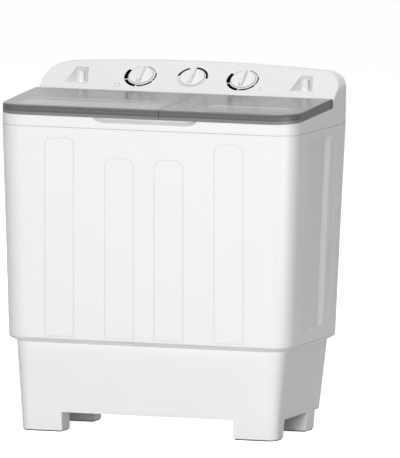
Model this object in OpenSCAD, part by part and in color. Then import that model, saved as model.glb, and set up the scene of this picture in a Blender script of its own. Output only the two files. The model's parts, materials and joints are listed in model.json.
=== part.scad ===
// Twin tub washer: a wash tub with a pulsator beside a spin basket, under two hinged lids,
// with a sloping control console along the back.
// Millimetres, +Z up, front towards -Y, origin on the floor under the middle of the body.

/* [Body] */
// Width of the cabinet at its top edge
body_w = 595; // [590:1:600]
// Depth of the cabinet at its top edge
body_d = 350; // [348:1:356]
// Height over the top of the console
body_h = 695; // [692:1:700]
// Height of the seam between cabinet and deck
seam_z = 588; // [586:1:590]
// Height of the cabinet's lower edge
cabinet_z = 180; // [176:1:186]
// How far each side leans in towards the bottom
side_draft = 12.5; // [10:0.5:14]
// How far the front leans in towards the bottom
front_draft = 16.5; // [14:0.5:18]
// How far the back leans in towards the bottom
back_draft = 8; // [6:1:9]
// Radius of the front corners
front_r = 50; // [44:1:54]
// Radius of the back corners
back_r = 20; // [16:1:24]
// Thickness of the moulded walls
wall = 3; // [2.5:0.5:3.5]

/* [Base] */
// How far the base steps in under the cabinet
step_in = 15; // [13:0.5:16]
// Height of the sloping step
step_drop = 8; // [6:1:10]
// How far the base leans in below the step
base_draft = 14; // [11:0.5:15]
// Lower edge of the skirt between the feet
skirt_z = 38; // [35:1:42]
// Upper face of the base floor
floor_z = 54; // [53:1:55]
// Distance from the middle to the inner side of a foot
foot_x = 172; // [166:1:178]
// Depth of a foot from front to back
foot_d = 48; // [44:1:52]
// Front face of the rear feet
rear_foot_y = 64; // [58:1:70]
// Thickness of the foot pads
pad_h = 4; // [3:1:5]

/* [Front and side panels] */
// Depth of the front panels' relief
panel_relief = 1.2; // [0.8:0.1:1.5]
// Middle of the inner front panels
inner_panel_x = 49.5; // [46:0.5:52]
// Top of the inner front panels
inner_panel_z = 534; // [520:1:545]
// Middle of the outer front panels
outer_panel_x = 169.5; // [164:0.5:174]
// Top of the outer front panels
outer_panel_z = 569; // [555:1:573]
// Width of a front panel
panel_w = 60; // [54:1:64]
// Radius of a front panel's upper corners
panel_r = 17; // [10:1:24]
// Depth of the recess in each side
recess_depth = 5; // [3:0.5:6]
// Top of the recess in each side
recess_top_z = 571; // [555:1:573]
// Foot of the recess in each side
recess_foot_z = 206; // [200:1:220]

/* [Deck and lids] */
// Height of the deck's front edge
deck_front_z = 609; // [607:1:611]
// Rise of the deck and lids towards the back, in degrees
lid_slope = 3; // [2.5:0.1:3.2]
// Height of the lids' front band
lid_h = 19; // [18:0.5:20]
// Thickness of the lids
lid_wall = 3; // [2.5:0.5:3]
// Where the two lids meet
lid_split_x = 29; // [28:0.5:31]
// Gap between the two lids
lid_gap = 1; // [0.8:0.1:1.5]
// Depth position of the lid hinges
hinge_y = 66; // [65:0.5:66]
// Radius of a hinge pin
hinge_pin_r = 2; // [1.5:0.1:2.2]
// Half width of the finger scoop at its top
scoop_half = 105; // [90:1:110]
// Height of the finger scoop
scoop_h = 10; // [8:1:11]

/* [Console] */
// Front foot of the console
console_y = 78; // [78:0.5:79]
// Height of the dial face at the console's front
face_foot_z = 637; // [636:0.5:638]
// Slope of the dial face
face_tilt = 35.2; // [34:0.1:36]
// Width of the console's rounded top corners
corner_w = 44; // [36:1:52]
// Height of the console's rounded top corners
corner_h = 36; // [30:1:44]
// How far the top edge falls from the middle to the corners
crown = 8; // [4:0.5:9]
// Distance between neighbouring knobs
knob_pitch = 103; // [100:0.5:106]
// Depth position of the knobs
knob_y = 119.5; // [118:0.5:123]
// Radius of a knob
knob_r = 25; // [22:0.5:27]
// Distance from the middle to a water inlet
inlet_x = 226; // [222:1:228]
// Depth position of the inlet stubs
inlet_y = 124; // [122:0.5:126]
// Radius of an inlet stub
inlet_r = 6.7; // [6:0.1:7]
// Floor of the inlet recesses
inlet_floor_z = 650; // [649:0.5:651]
// Height of an inlet stub above the recess floor
inlet_h = 21; // [16:1:24]

/* [Tubs] */
// Middle of the wash tub, left to right
wash_x = -117; // [-118:0.5:-116]
// Middle of the wash tub, front to back
wash_y = -53; // [-54:0.5:-52]
// Width of the wash tub
wash_w = 306; // [300:1:308]
// Depth of the wash tub from front to back
wash_d = 206; // [204:1:208]
// Radius of the wash tub's corners
wash_r = 32; // [26:1:34]
// Middle of the spin tub, left to right
spin_x = 160; // [159:0.5:161]
// Middle of the spin tub, front to back
spin_y = -48; // [-49:0.5:-47]
// Outer radius of the spin tub
spin_tub_r = 111; // [109:0.5:112]
// Outer radius of the spin basket
basket_r = 94; // [90:0.5:95]
// Underside of both tubs
tub_z = 250; // [246:1:254]
// Radius of the pulsator
pulsator_r = 90; // [80:1:92]

/* [Drive, drain and brake] */
// Middle of the wash motor, left to right
motor_x = -190; // [-194:1:-184]
// Middle of the wash motor, front to back
motor_y = 80; // [76:1:82]
// Radius of both motors
motor_r = 46; // [42:1:48]
// Belt radius on the large pulley
large_belt_r = 72.4; // [66:0.1:74]
// Belt radius on the small pulley
small_belt_r = 21.4; // [18:0.1:24]
// Radius of the drive shafts
shaft_r = 6; // [5:0.5:6]
// Position of the drain valve, left to right
drain_x = -40; // [-44:1:-36]
// Position of the drain valve, front to back
drain_y = 126; // [124:1:127]
// Travel of the drain plunger each way
plunger_travel = 5.7; // [4:0.1:6]
// Outer radius of the drain outlet
outlet_r = 12; // [10:0.5:12.5]
// Radius of the cord gland's bore
gland_r = 3.6; // [3:0.1:4.2]

/* [Hidden] */
$fn = 64;
corner_steps = 8;
big = 1000;
eps = 1;

white_plastic = "white";
grey_plastic = "gainsboro";
smoke_plastic = "dimgray";
dark_rubber = "darkslategray";
bright_steel = "silver";
zinc_steel = "lightgray";
cast_alloy = "darkgray";
bronze = "peru";

half_w = body_w / 2;
half_d = body_d / 2;
cabinet_h = seam_z - cabinet_z;
side_lean = atan(side_draft / cabinet_h);
front_lean = atan(front_draft / cabinet_h);
back_lean = atan(back_draft / cabinet_h);
step_z = cabinet_z - step_drop;
recess_y = [-66, 64];
recess_edge = [6, 36];

// Service opening in the back, from side to side and up the leaning wall
back_open = [380, 330];
back_open_mid = 395 - seam_z;
cover_open = [480, 62];
cover_mid_z = 636;
cover_lip = 11;
cover_t = 2.8;
screw_r = 1.6;
screw_head_r = 4;
screw_sink = 1.5;
screw_l = 9;
back_screws = [for (sx = [-1, 1], sy = [-150, 0, 150]) [sx * (back_open[0] / 2 + 6), sy]];
cover_screws = [for (sx = [-1, 1], sy = [-24, 24]) [sx * (cover_open[0] / 2 + 6), cover_mid_z + sy]];

// Lids, hinges and the gutter behind them
lid_clear = 0.3;
slope_rise = tan(lid_slope) * (hinge_y + half_d);
hinge_z = deck_front_z + lid_clear / 2 + lid_h / 2 + slope_rise;
barrel_r = (lid_h - lid_clear) / 2;
deck_t = 4;
gutter_y = 54;
gutter_z = 608;
gutter_t = 3;
knuckle_l = 14;
knuckle_r = 5.5;
ear_t = 4;
ear_gap = 0.5;
ear_r = 4;
hinge_slot = 2 * (knuckle_l / 2 + ear_gap + ear_t + 1.5);
wash_hinges = [-262, -2];
spin_hinges = [62, 240];

// Tub mouths and flanges
tub_top_z = 604;
tub_flange = 6;
tub_flange_t = 3;
mouth_inset = 8;
rim_t = 4;
spin_mouth_r = basket_r;
spin_flange = 5;
tub_floor_z = tub_z + wall;

// Console face: the knob row sits at knob_y on the sloping face
knob_z = face_foot_z + (knob_y - console_y) * tan(face_tilt);
recess_wide = 23.5;
recess_narrow = 12;
recess_front_y = 95;
recess_back_y = 140;
inlet_bore_r = 4.5;
inlet_collar_r = inlet_r + 2.3;
duct_r = 9;
duct_bore_r = 6.5;
duct_z = 588;
bracket_t = 1.5;
timer_size = [52, 44, 27];
selector_size = [40, 40, 22];
spindle_r = 3;
spindle_clear = 0.08;
knob_gap = 0.8;
knob_t = 2.2;
grip_w = 9;
grip_h = 7;
knob_bore_h = 7;

// Wash drive
belt_z = 175;
belt_w = 4.6;
belt_t = 6;
groove_w = 5;
pulley_w = 18;
pulsator_z = tub_z + 9;
bush_r = 9;
bush_l = 14;
run_clear = 0.05;
shaft_top_z = pulsator_z + 14;
housing_z = 198;
wash_motor_z = [76, 156];
bracket_plate_t = 4;
grommet_r = 7;

// Spin drive and brake
spin_motor_z = [72, 158];
mount_ring_r = 68;
mount_angles = [90, 210, 330];
lug_z = 88;
lug_t = 5;
drum_r = 36;
drum_z = [168, 198];
basket_z = 262;
basket_top_z = 566;
basket_wall = 1.5;
basket_hub_r = 14;
basket_hub_z = 290;
lever_y = 10;
lever_z = 210;
lever_r = 3;
shoe_gap = 4.6;
brake_post_x = [215, 250];
brake_post_t = 6;
rod_x = 268;
rod_y = 70;
rod_r = 1.5;
rod_top_z = 612;

// Drain
seat_z = 236;
port_z = 266;
outlet_z = 112;
outlet_end_y = 172;
outlet_flange_y = 148.6;
gland_x = 190;
gland_y = [135, 152];

// Wiring from the gland up the back into the console, rising beside the drive
loom_r = 3.5;
loom_route = [
    [190, 133, 112], [190, 125, 112], [190, 117, 121], [190, 115, 145], [190, 122, 200],
    [190, 138, 300], [190, 146, 420], [190, 148, 520], [186, 148, 585], [174, 147, 625],
    [155, 143, 644], [142, 140, 646], [knob_pitch + timer_size[0] / 2, 140, 646]];

function quarter(centre, r, start) =
    [for (i = [0 : corner_steps]) centre + r * [cos(start + 90 * i / corner_steps),
                                                sin(start + 90 * i / corner_steps)]];

// Rounded plan outline with its own front and back corner radii
function plan(half, front, back, rf, rb) = concat(
    quarter([half - rf, front + rf], rf, -90), quarter([half - rb, back - rb], rb, 0),
    quarter([rb - half, back - rb], rb, 90), quarter([rf - half, front + rf], rf, 180));

function cabinet_plan(z, inset = 0) =
    let (t = (seam_z - z) / cabinet_h)
    plan(half_w - side_draft * t - inset, -half_d + front_draft * t + inset,
         half_d - back_draft * t - inset, front_r - inset, back_r - inset);

function base_inset(z) =
    z >= step_z ? step_in * (cabinet_z - z) / step_drop
                : step_in + base_draft * (step_z - z) / (step_z - pad_h);

function base_plan(z, inset = 0) =
    let (all = inset + base_inset(z))
    plan(half_w - side_draft - all, -half_d + front_draft + all, half_d - back_draft - all,
         front_r - all, max(back_r - all, 6));

function level(points, z) = [for (p = points) [p[0], p[1], z]];

// Closed skin over rings of equal length, listed from the bottom up
module loft(rings) {
    n = len(rings[0]);
    last = len(rings) - 1;
    sides = [for (k = [0 : last - 1], i = [0 : n - 1])
        let (j = (i + 1) % n, a = k * n + i, b = a + n, c = k * n + j, d = c + n)
        each [[a, b, d], [a, d, c]]];
    bottom = [for (i = [1 : n - 2]) [0, i, i + 1]];
    top = [for (i = [1 : n - 2]) [last * n, last * n + i + 1, last * n + i]];
    polyhedron(points = [for (ring = rings) each ring], faces = concat(sides, bottom, top));
}

function unit(v) = v / norm(v);

// Round tube swept along a route whose bends stay gentle and roughly in one plane
module sweep(route, r, sides) {
    last = len(route) - 1;
    rings = [for (i = [0 : last])
        let (ahead = unit(route[min(i + 1, last)] - route[max(i - 1, 0)]),
             across = unit(cross(ahead, abs(ahead[0]) > 0.8 ? [0, 1, 0] : [1, 0, 0])),
             third = cross(across, ahead))
        [for (s = [0 : sides - 1])
            route[i] + r * (cos(360 * s / sides) * third + sin(360 * s / sides) * across)]];
    loft([for (ring = rings) [for (s = [sides - 1 : -1 : 0]) ring[s]]]);
}

module tube(outer, inner, h) {
    difference() {
        cylinder(r = outer, h = h);
        translate([0, 0, -eps]) cylinder(r = inner, h = h + 2 * eps);
    }
}

module along_x() { rotate([0, 90, 0]) children(); }

module along_y() { rotate([-90, 0, 0]) children(); }

module rounded_rect(w, d, r) {
    square([w, d - 2 * r], center = true);
    square([w - 2 * r, d], center = true);
    for (sx = [-1, 1], sy = [-1, 1])
        translate([sx * (w / 2 - r), sy * (d / 2 - r)]) circle(r);
}

// Frames on the leaning front, side and back walls: origin at the seam, Y or Z up the wall
module on_front() { translate([0, -half_d, seam_z]) rotate([90 + front_lean, 0, 0]) children(); }

module on_side() { translate([half_w, 0, seam_z]) rotate([0, side_lean, 0]) children(); }

module on_back() { translate([0, half_d, seam_z]) rotate([90 + back_lean, 0, 180]) children(); }

// Frame on the dial face at the knob row: X along the row, Y up the slope, Z out of the face
module on_face(x) { translate([x, knob_y, knob_z]) rotate([face_tilt, 0, 0]) children(); }

// Slab that follows the slope of the lids between two heights at the front edge
module slope_slab(low, high) {
    translate([0, -half_d, low]) rotate([lid_slope, 0, 0])
        translate([-big / 2, -big / 2, 0]) cube([big, big, high - low]);
}

module top_plan(inset = 0) {
    polygon(plan(half_w - inset, inset - half_d, half_d - inset, front_r - inset, back_r - inset));
}

module front_panel_outline(top_z) {
    h = (seam_z - top_z) / cos(front_lean);
    foot = cabinet_h / cos(front_lean) - 4;
    translate([-panel_w / 2, -foot]) square([panel_w, foot - h - panel_r]);
    translate([panel_r - panel_w / 2, -foot]) square([panel_w - 2 * panel_r, foot - h]);
    for (sx = [-1, 1])
        translate([sx * (panel_w / 2 - panel_r), -h - panel_r]) circle(panel_r);
}

module side_recess_backing() {
    on_side() translate([-wall / 2, 0, recess_foot_z - seam_z - wall])
        linear_extrude(recess_top_z - recess_foot_z + 2 * wall)
            polygon([[0, recess_y[0] - wall],
                     [-recess_depth - wall / 2, recess_y[0] + recess_edge[0] - wall / 2],
                     [-recess_depth - wall / 2, recess_y[1] - recess_edge[1] + wall],
                     [0, recess_y[1] + wall]]);
}

module side_recess_cut() {
    on_side() translate([0, 0, recess_foot_z - seam_z])
        linear_extrude(recess_top_z - recess_foot_z)
            polygon([[0, recess_y[0]], [-recess_depth, recess_y[0] + recess_edge[0]],
                     [-recess_depth, recess_y[1] - recess_edge[1]], [0, recess_y[1]],
                     [eps, recess_y[1]], [eps, recess_y[0]]]);
}

module screw_holes(places) {
    for (p = places) translate([p[0], p[1], -screw_l]) cylinder(r = screw_r, h = screw_l + eps);
    for (p = places) translate([p[0], p[1], -screw_sink])
        cylinder(r = screw_head_r, h = 2 * eps + screw_sink);
}

module sunk_screw() {
    translate([0, 0, -screw_l + 1]) cylinder(r = screw_r, h = screw_l - 1);
    difference() {
        translate([0, 0, -screw_sink]) cylinder(r = screw_head_r, h = screw_sink);
        for (a = [0, 90]) rotate(a) translate([-2.4, -0.4, -0.8]) cube([4.8, 0.8, 2]);
    }
}

module cabinet_shell() {
    color(white_plastic) difference() {
        union() {
            difference() {
                loft([for (z = [cabinet_z, seam_z]) level(cabinet_plan(z), z)]);
                loft([for (z = [cabinet_z - eps, seam_z + eps]) level(cabinet_plan(z, wall), z)]);
            }
            for (side = [0, 1]) mirror([side, 0, 0]) side_recess_backing();
        }
        for (sx = [-1, 1]) {
            on_front() translate([sx * inner_panel_x, 0, -panel_relief])
                linear_extrude(wall) front_panel_outline(inner_panel_z);
            on_front() translate([sx * outer_panel_x, 0, -panel_relief])
                linear_extrude(wall) front_panel_outline(outer_panel_z);
        }
        for (side = [0, 1]) mirror([side, 0, 0]) side_recess_cut();
        on_back() translate([-back_open[0] / 2, back_open_mid - back_open[1] / 2, -2 * wall])
            cube([back_open[0], back_open[1], 4 * wall]);
        on_back() translate([0, back_open_mid, 0]) screw_holes(back_screws);
    }
}

module foot_blocks() {
    for (sx = [-1, 1], y = [-half_d, rear_foot_y])
        translate([sx > 0 ? foot_x : -half_w, y, 0])
            cube([half_w - foot_x, y < 0 ? half_d - base_front() + foot_d : foot_d, floor_z - eps]);
}

// Distance from the middle to the front of the base at the floor
function base_front() = half_d - front_draft - base_inset(pad_h);

module base_skirt() {
    color(white_plastic) difference() {
        union() {
            difference() {
                loft([for (z = [skirt_z, step_z, cabinet_z]) level(base_plan(z), z)]);
                loft([for (z = [floor_z, step_z, cabinet_z + eps])
                    level(base_plan(min(z, cabinet_z), wall), z)]);
                loft([for (z = [skirt_z - eps, floor_z - deck_t]) level(base_plan(z, wall), z)]);
            }
            intersection() {
                loft([for (z = [pad_h, floor_z - eps]) level(base_plan(z), z)]);
                foot_blocks();
            }
        }
        translate([drain_x, 0, outlet_z]) along_y() cylinder(r = outlet_r + 0.3, h = half_d);
        translate([gland_x, 0, outlet_z]) along_y() cylinder(r = gland_r + 4.7, h = half_d);
    }
}

module foot_pads() {
    color(dark_rubber) linear_extrude(pad_h) intersection() {
        polygon(base_plan(pad_h, 2));
        for (sx = [-1, 1], y = [-half_d, rear_foot_y + 2])
            translate([sx > 0 ? foot_x + 2 : -half_w, y])
                square([half_w - foot_x - 2, y < 0 ? half_d - base_front() + foot_d - 2 : foot_d - 4]);
    }
}

module deck_plan(inset = 0) {
    intersection() {
        top_plan(inset);
        translate([-half_w, -half_d]) square([body_w, half_d + console_y]);
    }
}

module wash_mouth(grow) {
    translate([wash_x, wash_y])
        rounded_rect(wash_w - 2 * mouth_inset + 2 * grow, wash_d - 2 * mouth_inset + 2 * grow,
                     wash_r - mouth_inset + grow);
}

module spin_mouth(grow) { translate([spin_x, spin_y]) circle(spin_mouth_r + grow); }

module scoop_outline(grow) {
    low = deck_front_z - scoop_h - grow;
    run = 27;
    polygon([[-scoop_half - grow, deck_front_z + eps], [-scoop_half - grow, deck_front_z],
             [run - scoop_half - grow, low], [scoop_half + grow - run, low],
             [scoop_half + grow, deck_front_z], [scoop_half + grow, deck_front_z + eps]]);
}

module hinge_ears(places) {
    ear_x = knuckle_l / 2 + ear_gap;
    for (x = places, sx = [-1, 1])
        translate([x + (sx > 0 ? ear_x : -ear_x - ear_t), hinge_y, 0]) {
            translate([0, -ear_r, gutter_z - 1]) cube([ear_t, 2 * ear_r, hinge_z - gutter_z + 1]);
            translate([0, 0, hinge_z]) along_x() cylinder(r = ear_r, h = ear_t);
        }
}

module top_deck() {
    scoop_depth = 8;
    color(white_plastic) difference() {
        union() {
            intersection() {
                difference() {
                    translate([0, 0, seam_z]) linear_extrude(big / 10) deck_plan();
                    translate([0, 0, seam_z - eps]) linear_extrude(big / 5) deck_plan(wall);
                    translate([wall - half_w, console_y - 2 * wall, seam_z - eps])
                        cube([body_w - 2 * wall, 4 * wall, big / 5]);
                }
                slope_slab(seam_z - 2 * lid_h, deck_front_z);
            }
            intersection() {
                translate([0, 0, seam_z]) linear_extrude(big / 10) deck_plan(1);
                slope_slab(deck_front_z - deck_t, deck_front_z);
                translate([-half_w, -half_d, 0]) cube([body_w, half_d + gutter_y, big]);
            }
            translate([1 - half_w, gutter_y - gutter_t, gutter_z - gutter_t])
                cube([body_w - 2, console_y - gutter_y + gutter_t, gutter_t]);
            intersection() {
                translate([1 - half_w, gutter_y - gutter_t, gutter_z - gutter_t])
                    cube([body_w - 2, gutter_t, lid_h]);
                slope_slab(deck_front_z - 2 * lid_h, deck_front_z);
            }
            intersection() {
                translate([0, 0, tub_top_z]) linear_extrude(big / 10) {
                    wash_mouth(mouth_inset);
                    spin_mouth(spin_tub_r - spin_mouth_r + rim_t);
                }
                slope_slab(deck_front_z - 2 * lid_h, deck_front_z);
                translate([-half_w, -half_d, 0]) cube([body_w, half_d + gutter_y, big]);
            }
            intersection() {
                translate([0, -half_d + wall / 2, 0]) along_y() mirror([0, 1, 0])
                    linear_extrude(scoop_depth + wall) scoop_outline(wall);
                slope_slab(deck_front_z - 2 * lid_h, deck_front_z);
            }
            hinge_ears(concat(wash_hinges, spin_hinges));
        }
        translate([0, 0, seam_z]) linear_extrude(big / 10) {
            wash_mouth(0);
            spin_mouth(0);
        }
        intersection() {
            translate([0, -half_d - eps, 0]) along_y() mirror([0, 1, 0])
                linear_extrude(scoop_depth + eps) scoop_outline(0);
            translate([-half_w, -half_d, deck_front_z - scoop_h]) rotate([40, 0, 0])
                translate([0, -lid_h, 0]) cube([body_w, 2 * lid_h, 2 * lid_h]);
        }
        translate([0, hinge_y, hinge_z]) along_x()
            translate([0, 0, -half_w]) cylinder(r = hinge_pin_r, h = body_w);
        translate([rod_x, rod_y, gutter_z - 2 * gutter_t]) cylinder(r = rod_r + 3, h = 4 * gutter_t);
    }
}

// Front outline of the console, with elliptical corners and a gently arched top edge
function console_outline(inset) =
    let (top = body_h - inset, half = half_w - inset, cw = corner_w, ch = corner_h,
         shoulder = top - crown, steps = 2 * corner_steps)
    concat(
        [[-half, seam_z], [half, seam_z]],
        [for (i = [0 : steps]) [half - cw + cw * cos(90 * i / steps),
                                shoulder - ch + ch * sin(90 * i / steps)]],
        [for (i = [steps - 1 : -1 : 1 - steps])
            [(half - cw) * i / steps, top - crown * pow(i / steps, 2)]],
        [for (i = [steps : -1 : 0]) [-half + cw - cw * cos(90 * i / steps),
                                     shoulder - ch + ch * sin(90 * i / steps)]]);

module console_volume(inset) {
    intersection() {
        translate([0, console_y + inset, 0]) along_y() mirror([0, 1, 0])
            linear_extrude(half_d - console_y - 2 * inset) polygon(console_outline(inset));
        translate([0, 0, seam_z - eps]) linear_extrude(big) top_plan(inset);
        on_face(0) translate([-big / 2, -big / 2, -big - inset]) cube([big, big, big]);
    }
}

module inlet_recess_plan(grow) {
    polygon([[-recess_wide - grow, recess_front_y - grow], [recess_wide + grow, recess_front_y - grow],
             [recess_narrow + grow, recess_back_y + grow], [-recess_narrow - grow, recess_back_y + grow]]);
}

module on_back_cover() { translate([0, half_d, 0]) rotate([90, 0, 180]) children(); }

module control_console() {
    color(white_plastic) difference() {
        union() {
            difference() {
                console_volume(0);
                console_volume(wall);
                translate([wall - half_w, console_y + wall - eps, seam_z - eps])
                    cube([body_w - 2 * wall, half_d - console_y - 2 * wall + eps, 2 * wall]);
                translate([wall - half_w, console_y - eps, seam_z - eps])
                    cube([body_w - 2 * wall, 2 * wall, gutter_z - seam_z + eps + lid_clear]);
            }
            intersection() {
                console_volume(wall / 2);
                for (sx = [-1, 1]) translate([sx * inlet_x, 0, inlet_floor_z - wall])
                    linear_extrude(big / 10) inlet_recess_plan(wall);
            }
        }
        for (sx = [-1, 1]) translate([sx * inlet_x, 0, 0]) {
            translate([0, 0, inlet_floor_z]) linear_extrude(big / 10) inlet_recess_plan(0);
            translate([0, inlet_y, inlet_floor_z - 2 * wall]) cylinder(r = inlet_collar_r, h = 4 * wall);
        }
        for (i = [-1 : 1]) on_face(i * knob_pitch) translate([0, 0, -2 * wall])
            cylinder(r = spindle_r + 2, h = 4 * wall);
        translate([-cover_open[0] / 2, half_d - 2 * wall, cover_mid_z - cover_open[1] / 2])
            cube([cover_open[0], 4 * wall, cover_open[1]]);
        on_back_cover() screw_holes(cover_screws);
    }
}

// Service cover: a plate behind the wall with a raised middle that fills the opening
module service_cover(open, mid) {
    difference() {
        union() {
            translate([-open[0] / 2 - cover_lip, mid - open[1] / 2 - cover_lip, -wall - cover_t])
                cube([open[0] + 2 * cover_lip, open[1] + 2 * cover_lip, cover_t]);
            translate([0.5 - open[0] / 2, mid + 0.5 - open[1] / 2, -wall - eps])
                cube([open[0] - 1, open[1] - 1, wall + eps - 0.6]);
        }
        translate([wall - open[0] / 2, mid + wall - open[1] / 2, -2 * wall - cover_t])
            cube([open[0] - 2 * wall, open[1] - 2 * wall, wall + cover_t + eps]);
    }
}

module console_back_cover() {
    color(white_plastic) difference() {
        on_back_cover() service_cover(cover_open, cover_mid_z);
        on_back_cover() screw_holes(cover_screws);
    }
}

module console_cover_screws() {
    color(bright_steel) on_back_cover() for (p = cover_screws) translate([p[0], p[1], 0]) sunk_screw();
}

module back_panel() {
    vent_l = 90;
    color(white_plastic) difference() {
        on_back() service_cover(back_open, back_open_mid);
        on_back() translate([0, back_open_mid, 0]) screw_holes(back_screws);
        on_back() for (sx = [-1, 1], i = [0 : 5])
            translate([sx * 95 - vent_l / 2, back_open_mid - 120 + 13 * i, -4 * wall])
                cube([vent_l, 5, 6 * wall]);
    }
}

module back_panel_screws() {
    color(bright_steel) on_back() translate([0, back_open_mid, 0])
        for (p = back_screws) translate([p[0], p[1], 0]) sunk_screw();
}

module water_inlet_stubs() {
    color(white_plastic) for (sx = [-1, 1]) translate([sx * inlet_x, inlet_y, 0]) difference() {
        union() {
            translate([0, 0, inlet_floor_z - 12]) cylinder(r = inlet_r, h = inlet_h + 12);
            translate([0, 0, inlet_floor_z - wall - 3]) cylinder(r = inlet_r + 4, h = 3);
            translate([0, 0, inlet_floor_z - wall - 3]) cylinder(r = inlet_collar_r, h = wall + 3);
        }
        translate([0, 0, inlet_floor_z - 20]) cylinder(r = inlet_bore_r, h = inlet_h + 40);
    }
}

// Elbow that takes water from under a stub forward into a tub wall
module inlet_duct(x, end_y) {
    top_z = inlet_floor_z - wall - 3;
    drop_r = duct_r + 1;
    drop_bore_r = duct_bore_r + 1;
    translate([x, 0, 0]) difference() {
        union() {
            translate([0, inlet_y, duct_z - drop_r - 1])
                cylinder(r = drop_r, h = top_z - duct_z + drop_r + 1);
            translate([0, end_y, duct_z]) along_y() cylinder(r = duct_r, h = inlet_y - end_y);
        }
        translate([0, inlet_y, duct_z - drop_r + 1]) cylinder(r = drop_bore_r, h = top_z);
        translate([0, end_y - eps, duct_z]) along_y() cylinder(r = duct_bore_r, h = inlet_y - end_y + eps);
    }
}

// Depth at which a duct at x meets the spin tub's wall
function spin_tub_back(x, r) = spin_y + sqrt(r * r - pow(x - spin_x, 2));

module wash_inlet_duct() { color(grey_plastic) inlet_duct(-inlet_x, wash_y + wash_d / 2 - 2); }

module spin_inlet_duct() {
    color(grey_plastic) inlet_duct(inlet_x, spin_tub_back(inlet_x, spin_tub_r - wall / 2));
}

module wash_tub() {
    color(grey_plastic) difference() {
        union() {
            translate([wash_x, wash_y, tub_z]) linear_extrude(tub_top_z - tub_z)
                rounded_rect(wash_w, wash_d, wash_r);
            translate([wash_x, wash_y, tub_top_z - tub_flange_t]) linear_extrude(tub_flange_t)
                rounded_rect(wash_w + 2 * tub_flange, wash_d + 2 * tub_flange, wash_r + tub_flange);
        }
        translate([wash_x, wash_y, tub_floor_z]) linear_extrude(tub_top_z)
            rounded_rect(wash_w - 2 * wall, wash_d - 2 * wall, wash_r - wall);
        translate([wash_x, wash_y, tub_z - eps]) cylinder(r = bush_r + 5, h = wall + 2 * eps);
        translate([drain_x, wash_y, port_z]) along_y() cylinder(r = 11, h = wash_d);
        translate([-inlet_x, wash_y, duct_z]) along_y() cylinder(r = duct_r + 0.3, h = wash_d);
    }
}

module spin_tub() {
    foot_r = spin_tub_r - 6;
    color(grey_plastic) difference() {
        translate([spin_x, spin_y, 0]) rotate_extrude()
            polygon([[32, tub_z], [foot_r, tub_z], [spin_tub_r, tub_top_z - tub_flange_t],
                     [spin_tub_r + spin_flange, tub_top_z - tub_flange_t],
                     [spin_tub_r + spin_flange, tub_top_z], [spin_tub_r - wall, tub_top_z],
                     [foot_r - wall, tub_floor_z], [32, tub_floor_z]]);
        translate([inlet_x, spin_y, duct_z]) along_y() cylinder(r = duct_r + 0.3, h = spin_tub_r);
        translate([110, 10, tub_z - eps]) cylinder(r = 9, h = wall + 2 * eps);
    }
}

module lint_filter() {
    frame = [76, 110];
    depth = 12;
    back = wash_y + wash_d / 2 - wall;
    color(grey_plastic) translate([-170, back - depth, 440]) difference() {
        cube([frame[0], depth, frame[1]]);
        translate([5, -eps, 30]) cube([frame[0] - 10, depth - 2, frame[1] - 35]);
        for (i = [0 : 8], k = [0 : 8])
            translate([8.5 + i * 7, depth - 4, 35 + k * 8]) cube([3, 5, 4]);
    }
}

module overflow_column() {
    size = [52, 14, 300];
    back = wash_y + wash_d / 2 - wall;
    color(grey_plastic) translate([drain_x - size[0] / 2, back - size[1], tub_floor_z]) difference() {
        cube(size);
        translate([2.5, 2.5, -eps]) cube([size[0] - 5, size[1], size[2] - 20]);
        for (i = [0 : 4], z = [6, 240])
            translate([7.5 + 8 * i, -eps, z]) cube([5, 5, 26]);
    }
}

module drain_valve_body() {
    color(grey_plastic) translate([drain_x, drain_y, 0]) difference() {
        union() {
            translate([0, 0, 222]) cylinder(r = 20, h = 68);
            translate([0, 0, 206]) cylinder(r = outlet_r, h = 18);
            translate([0, wash_y + wash_d / 2 - wall - drain_y, port_z]) along_y()
                cylinder(r = 11, h = drain_y - wash_y - wash_d / 2 + wall);
        }
        translate([0, 0, 200]) cylinder(r = 9, h = 60);
        translate([0, 0, seat_z]) cylinder(r = 16, h = 48);
        translate([0, 0, seat_z]) cylinder(r = 2.3, h = 80);
        translate([0, wash_y + wash_d / 2 - wall - drain_y - eps, port_z]) along_y()
            cylinder(r = 8, h = drain_y - wash_y - wash_d / 2 + wall);
    }
}

module drain_pipe() {
    pipe_r = outlet_r + 2;
    top_z = 220;
    color(dark_rubber) translate([drain_x, drain_y, 0]) difference() {
        union() {
            translate([0, 0, outlet_z - pipe_r]) cylinder(r = pipe_r, h = top_z - outlet_z + pipe_r);
            translate([0, 0, outlet_z]) along_y() cylinder(r = pipe_r, h = 16);
        }
        translate([0, 0, outlet_z - outlet_r]) cylinder(r = outlet_r, h = top_z);
        translate([0, 0, outlet_z]) along_y() cylinder(r = outlet_r, h = 20);
    }
}

module spin_drain_pipe() {
    port = [110, 10];
    run = [drain_x, drain_y] - port;
    turn = atan2(run[1], run[0]);
    length = norm(run) - outlet_r - 2.4;
    run_z = 196;
    color(dark_rubber) translate([port[0], port[1], 0]) difference() {
        union() {
            translate([0, 0, run_z - 11]) cylinder(r = 9, h = tub_floor_z - run_z + 11);
            translate([0, 0, run_z]) rotate(turn) along_x() cylinder(r = 8, h = length);
        }
        translate([0, 0, run_z - 9]) cylinder(r = 7, h = tub_floor_z);
        translate([0, 0, run_z]) rotate(turn) along_x() cylinder(r = 6, h = length + eps);
    }
}

module drain_outlet() {
    start_y = drain_y + 5;
    color(grey_plastic) translate([drain_x, 0, outlet_z]) along_y() difference() {
        union() {
            translate([0, 0, start_y]) cylinder(r = outlet_r, h = outlet_end_y - start_y);
            translate([0, 0, outlet_flange_y]) cylinder(r = outlet_r + 5, h = 3);
        }
        translate([0, 0, start_y - eps]) cylinder(r = outlet_r - 3, h = outlet_end_y);
    }
}

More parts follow.
